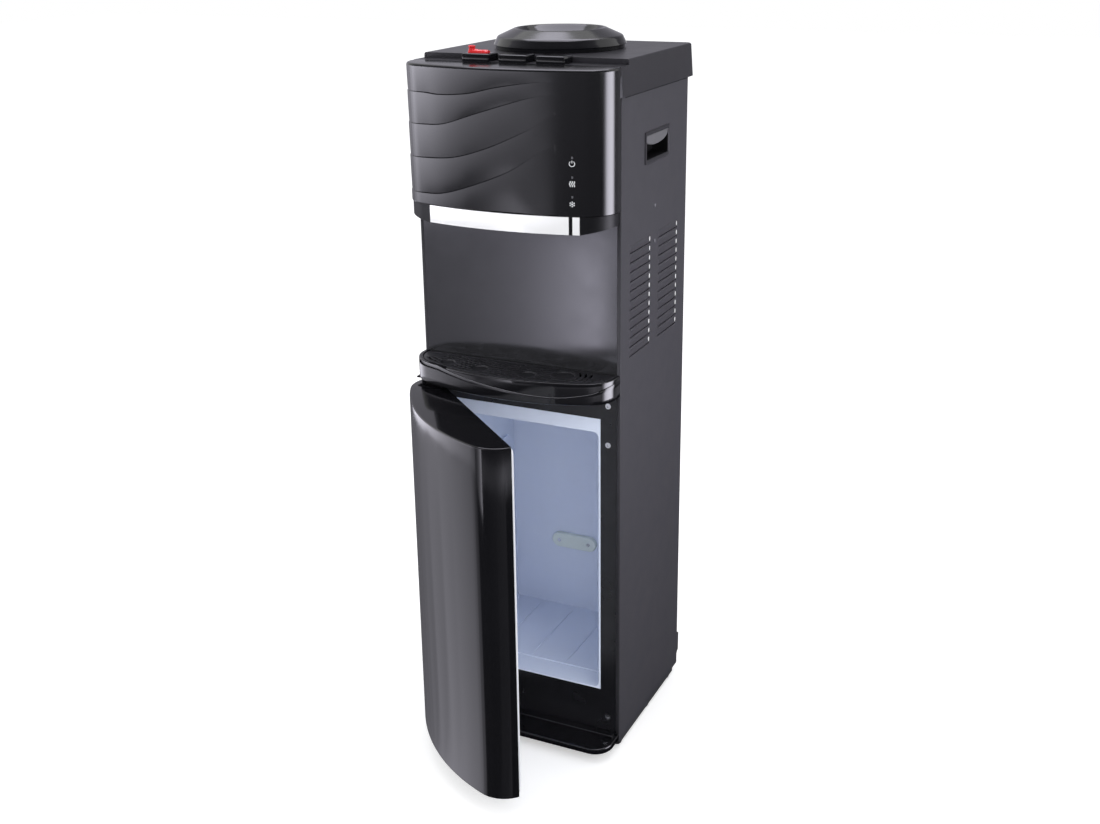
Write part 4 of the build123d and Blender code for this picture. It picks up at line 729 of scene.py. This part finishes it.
def arc_slots():
    """Loops of the arcs round the right cup rest."""
    loops = []
    cx, cy, cr = ARC_CUP
    for ring in range(ARC_RINGS):
        radius = cr + ARC_FIRST + ring * ARC_PITCH
        for low, high in ARC_SPANS:
            turns = [radians(low + (high - low) * k / 14) for k in range(15)]
            points = [(cx + radius * cos(a), cy + radius * sin(a)) for a in turns]
            good = [(x, y) for x, y in points if abs(x) < ARC_SIDE and on_plate(x, y, ARC_BACK, ARC_FRONT)]
            if len(good) >= FEWEST_POINTS:
                loops.append(slot_loop(good, ARC_WIDTH))
    return loops


def grille():
    """Perforated plate: long slots that run with the front edge, four cup rests, arcs round the right one."""
    holes = [loop for row in range(SLOT_ROWS) for loop in row_slots(row)] + arc_slots()
    curve = bpy.data.curves.new("grille_curve", "CURVE")
    curve.dimensions = "2D"
    curve.fill_mode = "BOTH"
    curve.extrude = GRILLE_HALF_THICKNESS
    curve.bevel_depth = GRILLE_EDGE
    curve.bevel_resolution = 1
    rings = [[(cx + cr * cos(2 * pi * k / 40), cy + cr * sin(2 * pi * k / 40)) for k in range(40)]
             for cx, cy, cr in CUPS]
    outline = bow_plan(TRAY_BOW, TRAY_CORNER, GRILLE_INSET, GRILLE_BACK, corner_steps=14, front_steps=60)
    for loop in [outline] + holes + rings:
        spline = curve.splines.new("POLY")
        spline.points.add(len(loop) - 1)
        for point, (x, y) in zip(spline.points, loop):
            point.co = (x, y, 0.0, 1.0)
        spline.use_cyclic_u = True
    holder = bpy.data.objects.new("grille_curve", curve)
    scene.collection.objects.link(holder)
    bpy.context.view_layer.update()
    mesh = bpy.data.meshes.new_from_object(holder.evaluated_get(bpy.context.evaluated_depsgraph_get()))
    bpy.data.objects.remove(holder)
    mesh.transform(Matrix.Translation((0, 0, GRILLE_Z)))
    plate = [tuple(v.co) for v in mesh.vertices], [tuple(p.vertices) for p in mesh.polygons]
    bpy.data.meshes.remove(mesh)
    rests = [lathe([(cr - inset, z) for inset, z in CUP_WALL] + [(CUP_CORE, CUP_WALL[-1][1])], (cx, cy), 40)
             for cx, cy, cr in CUPS]
    build("tray_grille", joined([plate] + rests), "perforated", "grille", stands_for=["drip_grille"],
          tidy=False)


grille()

# ---- bottle collar

COLLAR_CENTRE = (0.0, 0.02)
# (radius, z) from the foot of the skirt over the rim and down the neck, then up its outside
COLLAR_PROFILE = (
    (0.085, 0.993), (0.0886, 0.9931), (0.0888, 0.9936), (0.0888, 0.9976), (0.089, 0.998), (0.0908, 0.9986),
    (0.091, 0.9991), (0.0908, 0.9998), (0.089, 1.0034), (0.0872, 1.007), (0.0866, 1.0084), (0.0856, 1.0096),
    (0.0842, 1.0104), (0.0826, 1.0111), (0.076, 1.014), (0.07, 1.0167), (0.0652, 1.0188), (0.0636, 1.0195),
    (0.0622, 1.0199), (0.0608, 1.0197), (0.0596, 1.0191), (0.0572, 1.017), (0.053, 1.013), (0.048, 1.0095),
    (0.043, 1.007), (0.038, 1.0054), (0.033, 1.0045), (0.03, 1.0041), (0.0289, 1.0036), (0.0285, 1.0028),
    (0.0285, 0.9802), (0.029, 0.98), (0.0313, 0.98), (0.0315, 0.9803), (0.0315, 1.001), (0.05, 1.005),
)
build("neck_collar", lathe(COLLAR_PROFILE, COLLAR_CENTRE), "collar", "cabinet", sharp=28,
      stands_for=["bottle_collar"])

# ---- push buttons and hot water latch

BUTTONS = (("hot", -0.058), ("room", -0.004), ("cold", 0.05))
KEY_HALF, KEY_Y, KEY_Z, KEY_EDGE = 0.02, (-0.12, -0.092), (0.9788, 0.9955), 0.0014
PAD_HALF, PAD_Y, PAD_Z, PAD_EDGE = 0.0175, (-0.1175, -0.0945), (0.995, 0.9958), 0.0004
STEM_Y = -0.106
STEM = ((0.0001, 0.823), (0.004, 0.823), (0.004, 0.98))
STEM_FLANGE = ((0.004, 0.872), (0.008, 0.872), (0.008, 0.875), (0.004, 0.875))


def button(body, node, x):
    """A push key with a raised pad, and the stem below it with the flange that its spring bears on."""
    shape = joined([slab((x - KEY_HALF, x + KEY_HALF), KEY_Y, KEY_Z, KEY_EDGE),
                    slab((x - PAD_HALF, x + PAD_HALF), PAD_Y, PAD_Z, PAD_EDGE, 1),
                    lathe(STEM, (x, STEM_Y), 20), lathe(STEM_FLANGE, (x, STEM_Y), 24)])
    build(f"{node}_key", shape, "gloss", body, stands_for=[node])


for water, x in BUTTONS:
    button(f"{water}_cap", f"{water}_button", x)

LATCH_Y, LATCH_BASE = -0.108, 0.9959
LATCH_STEPS = 30
# (x, half width) and (x, height) of the latch along its length
LATCH_WIDTHS = ((-0.0732, 0.003), (-0.0718, 0.0047), (-0.069, 0.0052), (-0.063, 0.0046), (-0.056, 0.0042),
                (-0.049, 0.0044), (-0.045, 0.005), (-0.044, 0.0046))
LATCH_HEIGHTS = ((-0.0732, 0.003), (-0.07, 0.0052), (-0.064, 0.005), (-0.056, 0.004),
                 (-0.048, 0.0042), (-0.044, 0.0034))
LATCH_FOOT_X, LATCH_FOOT_HALF, LATCH_FOOT_Z = (-0.066, -0.0553), 0.002, (0.9916, 0.9962)
STUD_X = -0.0685
STUD = ((0.0046, 0.9985), (0.0046, 0.9998), (0.0041, 1.0008), (0.0041, 1.0018), (0.0048, 1.0028),
        (0.0049, 1.004), (0.0044, 1.0049), (0.0028, 1.0054), (0.00005, 1.0054))


def latch():
    """Sliding catch: a low bar with a round thumb stud at its left end and a flared right end."""
    bar = []
    for k in range(LATCH_STEPS + 1):
        x = LATCH_WIDTHS[0][0] + (LATCH_WIDTHS[-1][0] - LATCH_WIDTHS[0][0]) * k / LATCH_STEPS
        half = curve_at(LATCH_WIDTHS, x)
        tall = curve_at(LATCH_HEIGHTS, x)
        turns = [pi * step / 12 for step in range(13)]
        bar.append([(x, LATCH_Y + half * cos(a), LATCH_BASE + tall * sin(a) ** 0.7) for a in turns])
    foot_y = (LATCH_Y - LATCH_FOOT_HALF, LATCH_Y + LATCH_FOOT_HALF)
    shape = joined([rows_to_mesh(bar, closed=True, caps=(0, -1)), lathe(STUD, (STUD_X, LATCH_Y), 28),
                    slab(LATCH_FOOT_X, foot_y, LATCH_FOOT_Z, 0.0002, 1)])
    build("latch_slider", shape, "red", "latch", stands_for=["hot_latch"])


latch()

# ---- steel side panels with pressed louvres

PANEL_FACE_X = 0.15
PANEL_BEND = 0.0013
PANEL_SHEET = 0.0008
FRONT_FLANGE, REAR_FLANGE = 0.005, 0.01
LOUVRES = ((-0.091, -0.017), (0.014, 0.088))
LOUVRE_FIRST, LOUVRE_PITCH, LOUVRE_ROWS = 0.597, 0.013, 12
LOUVRE_TALL, LOUVRE_DEEP = 0.0118, 0.0013
LOUVRE_ENDS = (0.0, 0.0004, 0.001, 0.0018, 0.0028, 0.004)
LOUVRE_FALL = 0.55
HOLE_Y, HOLE_Z = (-0.0385, 0.0445), (0.8535, 0.8895)
PANEL_EDGE_Y = (-0.1225, 0.1225)
PANEL_LEVELS = (0.012, 0.9478)
LARGE_FACE = 0.002
FLAT_SHARP, FLAT_NORMAL = 5, 0.99999
END_INSET, END_HALF, END_TALL = 0.003, 0.0016, 0.0066
END_X, END_CREST, END_BULGE = 0.15005, 0.1502, 0.0004
COVER_FOOT_X, COVER_FLARE = 0.1515, 0.0699
GAP_DROP, GAP_START, GAP_LENGTH = (0.0015, 0.0001), 0.012, 0.232
GAP_X = (0.15002, 0.1502)
NOSE_RISE = (0.0002, 0.0275)
NOSE_IN, NOSE_MIDDLE_Y = (0.1493, -0.1268), -0.125


def panel_flat(windows, ys_at, zs_at):
    """Sheets of the flat face, as a grid that leaves out the windows."""
    ys = sorted({round(v, 6) for w in windows for v in w[0]} | set(ys_at))
    zs = sorted({round(v, 6) for w in windows for v in w[1]} | set(zs_at))
    sheets = []
    for y0, y1 in zip(ys, ys[1:]):
        for z0, z1 in zip(zs, zs[1:]):
            my, mz = (y0 + y1) / 2, (z0 + z1) / 2
            if not any(w[0][0] < my < w[0][1] and w[1][0] < mz < w[1][1] for w in windows):
                sheets.append([[(PANEL_FACE_X, y0, z), (PANEL_FACE_X, y1, z)] for z in (z0, z1)])
    return sheets


def louvre_rows(y0, y1, z0, z1):
    """A louvre pressed inwards: flush at its top edge, deepest at its foot, rounded off at both ends."""
    along = [y0 + v for v in LOUVRE_ENDS] + [y1 - v for v in reversed(LOUVRE_ENDS)]
    rows = []
    for step in range(7):
        t = step / 6
        depth = LOUVRE_DEEP * (LOUVRE_FALL * smooth(t) + (1 - LOUVRE_FALL) * t)
        row = []
        for y in along:
            away = min(1.0, min(y - y0, y1 - y) / LOUVRE_ENDS[-1])
            shape = sqrt(max(0.0, 1 - (1 - away) ** 2))
            row.append((PANEL_FACE_X - depth * shape, y, z1 + (z0 - z1) * t))
        rows.append(row)
    return rows


def side_panel(name, side):
    """Sheet panel with a bent front and rear edge, two columns of louvres and the handle's hole."""
    flat = (PANEL_EDGE_Y[0] + PANEL_BEND, PANEL_EDGE_Y[1] - PANEL_BEND)
    bend_x = PANEL_FACE_X - PANEL_BEND
    front = [(bend_x + PANEL_BEND * sin(a), flat[0] - PANEL_BEND * cos(a)) for a in quarter(5)]
    rear = [(bend_x + PANEL_BEND * cos(a), flat[1] + PANEL_BEND * sin(a)) for a in quarter(5)]
    strips = ([(PANEL_FACE_X - FRONT_FLANGE, PANEL_EDGE_Y[0])] + front,
              rear + [(PANEL_FACE_X - REAR_FLANGE, PANEL_EDGE_Y[1])])
    sheets = [[[(x, y, z) for x, y in strip] for z in PANEL_LEVELS] for strip in strips]
    louvres = [((low, high), (z, z + LOUVRE_TALL)) for low, high in LOUVRES
               for z in [LOUVRE_FIRST + row * LOUVRE_PITCH for row in range(LOUVRE_ROWS)]]
    sheets += panel_flat([(HOLE_Y, HOLE_Z)] + louvres, flat, PANEL_LEVELS)
    sheets += [louvre_rows(*ys, *zs) for ys, zs in louvres]
    sheets.append([[(x, y, PANEL_LEVELS[1]) for y in flat]
                   for x in (PANEL_FACE_X, PANEL_FACE_X - REAR_FLANGE)])
    piece = build(f"{name}_skin", mirrored(joined(map(rows_to_mesh, sheets)), side), "steel", "cabinet",
                  sharp=FLAT_SHARP, stands_for=[f"{name}_side_panel"])
    outer = next(f for f in piece.data.polygons if abs(f.normal.x) > FLAT_NORMAL and f.area > LARGE_FACE)
    if outer.normal.x * side < 0:
        piece.data.flip_normals()
    for polygon in piece.data.polygons:
        polygon.use_smooth = abs(polygon.normal.x) < FLAT_NORMAL
    thick = piece.modifiers.new("sheet", "SOLIDIFY")
    thick.thickness = PANEL_SHEET
    thick.offset = -1.0


def louvre_end_glints(name, side):
    """Pale caps at the cut ends of the louvres, a painted highlight where the sheet catches the light."""
    ends = []
    for _, high in LOUVRES:
        y = high - END_INSET
        for row in range(LOUVRE_ROWS):
            z = LOUVRE_FIRST + row * LOUVRE_PITCH + END_INSET
            rows = []
            for step in range(7):
                a = pi * step / 6
                half = END_HALF * sin(a) + 0.0001
                level = z + END_TALL * (1 - cos(a)) / 2
                rows.append([(END_X, y - half, level), (END_CREST + END_BULGE * sin(a), y, level),
                             (END_X, y + half, level)])
            ends.append(rows_to_mesh(rows))
    build(f"{name}_louvre_end_glints", mirrored(joined(ends), side), "edge", "cabinet", sharp=60,
          tidy=False)


def cover_joint(name, side):
    """A thin near-black strip of painted shade in the gap under the top cover, and the cover's front edge
    drawn in to the front panel.
    """
    top, front = PANEL_LEVELS[1], PANEL_EDGE_Y[0]
    low, high = [top - drop for drop in GAP_DROP]
    inner, outer = GAP_X
    ys = [front + GAP_START + GAP_LENGTH * k / 24 for k in range(25)]
    rows = [[(side * x, y, z) for y in ys]
            for x, z in ((inner, low), (outer, low + 0.0001), (outer, high), (inner, high))]
    # Painted shade: a near-black strip where the gap under the cover lies in shade.
    build(f"{name}_cover_gap_shade", rows_to_mesh(rows), "shade_paint", "cabinet", sharp=60,
          tidy=False)
    rows = []
    for k in range(9):
        rise = NOSE_RISE[0] + NOSE_RISE[1] * k / 8
        outer = COVER_FOOT_X - rise * COVER_FLARE
        points = (NOSE_IN, ((NOSE_IN[0] + outer) / 2, NOSE_MIDDLE_Y), (outer, front + 0.0001))
        rows.append([(side * x, y, top + rise) for x, y in points])
    build(f"{name}_cover_nose", rows_to_mesh(rows), "steel", "cabinet", sharp=60,
          tidy=False)


for name, side in SIDES:
    side_panel(name, side)
    louvre_end_glints(name, side)
    cover_joint(name, side)

CUP_Y, CUP_Z = 0.003, 0.8715
# Width, height, corner radius and x of each ring, from the rim's foot over the rim into the cup
CUP_RINGS = (
    (0.09, 0.043, 0.0022, 0.1501), (0.0898, 0.0428, 0.0022, 0.1509), (0.089, 0.042, 0.002, 0.1514),
    (0.0878, 0.0408, 0.0018, 0.1515), (0.0812, 0.034, 0.0016, 0.1515), (0.08, 0.0328, 0.0016, 0.1512),
    (0.079, 0.032, 0.0016, 0.1504), (0.0784, 0.0316, 0.0024, 0.142), (0.077, 0.0306, 0.004, 0.132),
    (0.074, 0.029, 0.005, 0.129), (0.068, 0.026, 0.005, 0.128),
)
RIM_RINGS = 7
LIP_HALF_LENGTH = 0.0392
LIP_Z, LIP_SAG, LIP_TOP = 0.8722, 0.01, 0.8874
LIP_ROUND = 0.96
LIP_X = (0.1505, 0.1382)
# (x, height above the lip's lower edge) points of its section
LIP_SECTION = ((0.1503, 0.002), (0.1498, 0.0006), (0.1488, 0.0), (0.145, 0.0001), (0.141, 0.0008),
               (0.1388, 0.002))


def handle_cup(name, side):
    """Moulded cup with a raised rim and a finger lip along its top, curved on its lower edge."""
    rings = [[(side * x, CUP_Y + py, CUP_Z + pz) for py, pz in rounded_rect(w, h, radius, 6)]
             for w, h, radius, x in CUP_RINGS]
    build(f"{name}_handle_rim", rows_to_mesh(rings[:RIM_RINGS], closed=True), "cover", "cabinet", sharp=20)
    # Painted shade: the inside of the cup is near-black to stand for the shade in the recess.
    build(f"{name}_handle_inside", rows_to_mesh(rings[RIM_RINGS - 1:], closed=True, caps=[-1]), "shade_paint",
          "cabinet", sharp=35)
    rows = []
    for k in range(33):
        off = k / 16 - 1
        low = LIP_Z + LIP_SAG * (1 - sqrt(1 - off * off * LIP_ROUND))
        section = [(LIP_X[0], LIP_TOP), *[(x, low + rise) for x, rise in LIP_SECTION], (LIP_X[1], LIP_TOP)]
        rows.append([(side * x, CUP_Y + LIP_HALF_LENGTH * off, z) for x, z in section])
    build(f"{name}_handle_lip", rows_to_mesh(rows), "rim", "cabinet", sharp=35, stands_for=["handle_pockets"])


for name, side in SIDES:
    handle_cup(name, side)

# ---- front skirt

SKIRT_HALF, SKIRT_REACH, SKIRT_CORNER = 0.15, 0.051, 0.028
SKIRT_Z, SKIRT_EDGE = (0.014, 0.023), 0.0022
SKIRT_STEP_X, SKIRT_STEP_Y = (-0.1448, 0.1448), (-0.136, -0.1225)
SKIRT_STEP_Z, SKIRT_STEP_EDGE = (0.0228, 0.027), 0.0008


def skirt_plan(inset):
    points = [(SKIRT_HALF - inset, FRONT)]
    small = SKIRT_CORNER - inset
    for a in quarter(14):
        points.append((SKIRT_HALF - SKIRT_CORNER + small * cos(a),
                       FRONT - SKIRT_REACH + SKIRT_CORNER - small * sin(a)))
    return points + [(-x, y) for x, y in reversed(points)]


def skirt():
    """Low apron under the door, with a step at its back."""
    rows = [[(x, y, z) for x, y in skirt_plan(inset)] for inset, z in rounded(*SKIRT_Z, SKIRT_EDGE)]
    shape = joined([rows_to_mesh(rows, closed=True, caps=(0, -1)),
                    slab(SKIRT_STEP_X, SKIRT_STEP_Y, SKIRT_STEP_Z, SKIRT_STEP_EDGE)])
    build("skirt_shell", shape, "gloss", "cabinet", stands_for=["front_skirt"])


skirt()

# ---- stage

FLOOR_HALF = 12
FLOOR_COLOR = (0.8, 0.8, 0.8, 1)
FLOOR_GAIN = 0.45
WORLD_COLOR, WORLD_STRENGTH = (0.97, 0.98, 1.0, 1), 0.85
CARD_TINT = (0.965, 0.945, 1.06, 1.0)

floor_mesh = bpy.data.meshes.new("floor")
corners = [(x * FLOOR_HALF, y * FLOOR_HALF, 0) for x, y in ((-1, -1), (1, -1), (1, 1), (-1, 1))]
floor_mesh.from_pydata(corners, [], [(0, 1, 2, 3)])
floor = bpy.data.objects.new("floor", floor_mesh)
scene.collection.objects.link(floor)
floor_mat = bpy.data.materials.new("floor_paper")
tree = empty_tree(floor_mat)
out = add_node(tree, "OutputMaterial")
paper = add_node(tree, "BsdfDiffuse", Color=FLOOR_COLOR)
glow = add_node(tree, "Emission")
rays = add_node(tree, "LightPath")
gain = add_node(tree, "Math")
gain.operation = "MULTIPLY"
gain.inputs[1].default_value = FLOOR_GAIN
wire(rays, "Is Camera Ray", gain, 0)
wire(gain, 0, glow, "Strength")
both = add_node(tree, "AddShader")
wire(paper, 0, both, 0)
wire(glow, 0, both, 1)
wire(both, 0, out, "Surface")
floor_mesh.materials.append(floor_mat)

# Camera, glossy and transmission rays see a white world; all others are lit by a softer one
world = bpy.data.worlds.new("world")
scene.world = world
tree = empty_tree(world)
out = add_node(tree, "OutputWorld")
seen = add_node(tree, "Background", Color=(1, 1, 1, 1))
felt = add_node(tree, "Background", Color=WORLD_COLOR, Strength=WORLD_STRENGTH)
rays = add_node(tree, "LightPath")
either, any_of = add_node(tree, "Math"), add_node(tree, "Math")
either.operation = any_of.operation = "MAXIMUM"
mix = add_node(tree, "MixShader")
wire(rays, "Is Camera Ray", either, 0)
wire(rays, "Is Glossy Ray", either, 1)
wire(either, 0, any_of, 0)
wire(rays, "Is Transmission Ray", any_of, 1)
wire(any_of, 0, mix, "Fac")
wire(felt, 0, mix, 1)
wire(seen, 0, mix, 2)
wire(mix, 0, out, "Surface")


def lamp(name, place, aim, size, watts):
    """A soft rectangular lamp that reflections don't show."""
    data = bpy.data.lights.new(name, "AREA")
    data.shape = "RECTANGLE"
    data.size, data.size_y = size
    data.energy = watts
    holder = bpy.data.objects.new(name, data)
    holder.location = place
    holder.rotation_euler = (Vector(aim) - Vector(place)).to_track_quat("-Z", "Y").to_euler()
    holder.visible_glossy = False
    scene.collection.objects.link(holder)


lamp("key", (-2.2, -2.6, 2.6), (0, 0, 0.55), (2.2, 2.2), 42.0)
lamp("fill", (3.0, -1.6, 1.8), (0, 0, 0.5), (2.0, 2.4), 30.0)
lamp("top", (0.2, 0.4, 3.4), (0, 0, 0.5), (2.4, 2.4), 20.0)


def card(name, rows, levels):
    """A sheet that only reflections see. Levels holds its brightness at each row and column."""
    verts, faces = rows_to_mesh(rows)
    mesh = bpy.data.meshes.new(name)
    mesh.from_pydata(verts, [], faces)
    shade = mesh.attributes.new("level", "FLOAT", "POINT")
    for i, value in enumerate(v for row in levels for v in row):
        shade.data[i].value = value
    mat = bpy.data.materials.new(name)
    tree = empty_tree(mat)
    out = add_node(tree, "OutputMaterial")
    glow = add_node(tree, "Emission", Color=CARD_TINT)
    read = add_node(tree, "Attribute")
    read.attribute_name = "level"
    wire(read, "Fac", glow, "Strength")
    wire(glow, 0, out, "Surface")
    mesh.materials.append(mat)
    piece = bpy.data.objects.new(name, mesh)
    for ray in ("camera", "diffuse", "shadow", "transmission", "volume_scatter"):
        setattr(piece, f"visible_{ray}", False)
    scene.collection.objects.link(piece)


def ring_card(name, radius, stops, z0, z1, tilt=0.0):
    """A curved upright sheet round the object; stops give (azimuth in degrees from -Y towards +X, level)."""
    turns = [radians(azimuth) for azimuth, _ in stops]
    rows = [[(radius * sin(a), -radius * cos(a), z) for a in turns] for z in (z0, z1)]
    card(name, rows, [[level * share for _, level in stops] for share in (1 - tilt, 1 + tilt)])


def floor_fan(name, radii, stops):
    """A flat sheet on the floor; stops give (start x, start y, azimuth in degrees, level)."""
    rows = [[(x + radius * sin(radians(azimuth)), y - radius * cos(radians(azimuth)), 0.006)
             for x, y, azimuth, _ in stops] for radius in radii]
    card(name, rows, [[level for *_, level in stops]] * 2)


RECESS_LEVELS = (0.25, 0.5, 0.95, 2.1, 4.2)
RECESS_XS = (-0.86, -0.66, -0.53, -0.42, -0.32)
SKY_LEVELS = (0.75, 0.45, 0.18)
SKY_XS = (-4.5, -1.2, 1.5)
TRAY_FAN_FROM = (0.0, -0.19)
TRAY_FAN = ((-125, 2.4), (-100, 3.6), (-85, 3.0), (-70, 2.3), (-58, 1.6), (-46, 1.2), (-34, 0.8),
            (-22, 0.6), (-10, 0.5), (2, 0.45), (14, 0.5), (30, 0.8), (45, 1.5), (60, 1.0), (80, 0.7),
            (101, 0.55), (157, 0.3))
PANEL_RING = ((-135, 0.3), (-121, 0.4), (-95, 1.2), (-80, 3.2), (-70, 5.2), (-58, 5.4), (-52, 4.8),
              (-46, 3.5), (-40, 2.6), (-32, 2.0), (-20, 1.65), (-12, 1.35), (-6, 0.85), (-3, 0.4),
              (0, 0.2), (35, 0.15), (60, 0.15))

card("card_floor", [[(x, y, 0.002) for x in (-8, 8)] for y in (-8, 8)], [[0, 0]] * 2)
ring_card("card_panel", 2.0, PANEL_RING, 0.25, 0.95, tilt=0.55)
ring_card("card_right", 1.25,
          [(70, 0.2), (77, 3.0), (82, 9.0), (90, 12.0), (104, 12.0), (112, 8.0), (119, 0.3)], 0.1, 0.95)
floor_fan("card_door", (0.02, 1.57), [
    (-0.123, -0.216, -145, 0.15), (-0.1, -0.245, -131, 0.22), (-0.088, -0.26, -124, 0.3),
    (-0.075, -0.273, -118, 0.42), (-0.053, -0.291, -107, 0.75), (-0.022, -0.312, -93, 1.25),
    (0.003, -0.325, -82, 1.45), (0.024, -0.335, -73, 1.43), (0.037, -0.34, -67, 1.25),
    (0.043, -0.341, -55, 0.7), (0.048, -0.342, -42, 0.03), (0.061, -0.342, -9, 0.02),
    (0.072, -0.338, 21, 0.1), (0.082, -0.332, 52, 0.22)])
floor_fan("card_tray", (1.62, 1.99), [(*TRAY_FAN_FROM, azimuth, level) for azimuth, level in TRAY_FAN])
card("card_recess", [[(x, -1.2, z) for x in RECESS_XS] for z in (0.1, 0.5)], [RECESS_LEVELS] * 2)
ring_card("card_side", 2.4, [(119, 0.1), (127, 0.21), (140, 0.25), (178, 0.25)], 0.05, 0.95)
ring_card("card_shade", 2.6, [(-80, 0.6), (-55, 0.25), (-30, 0.08), (0, 0.04), (60, 0.04), (100, 0.3)],
          1.0, 4.0)
card("card_top", [[(x, y, 2.7) for x in (-1.2, 0.9)] for y in (-0.9, 1.2)], [[3.5, 5.5]] * 2)
card("card_sky", [[(x, 2.6, z) for x in SKY_XS] for z in (0.95, 3.2)], [SKY_LEVELS] * 2)

scene.view_settings.view_transform = "Standard"

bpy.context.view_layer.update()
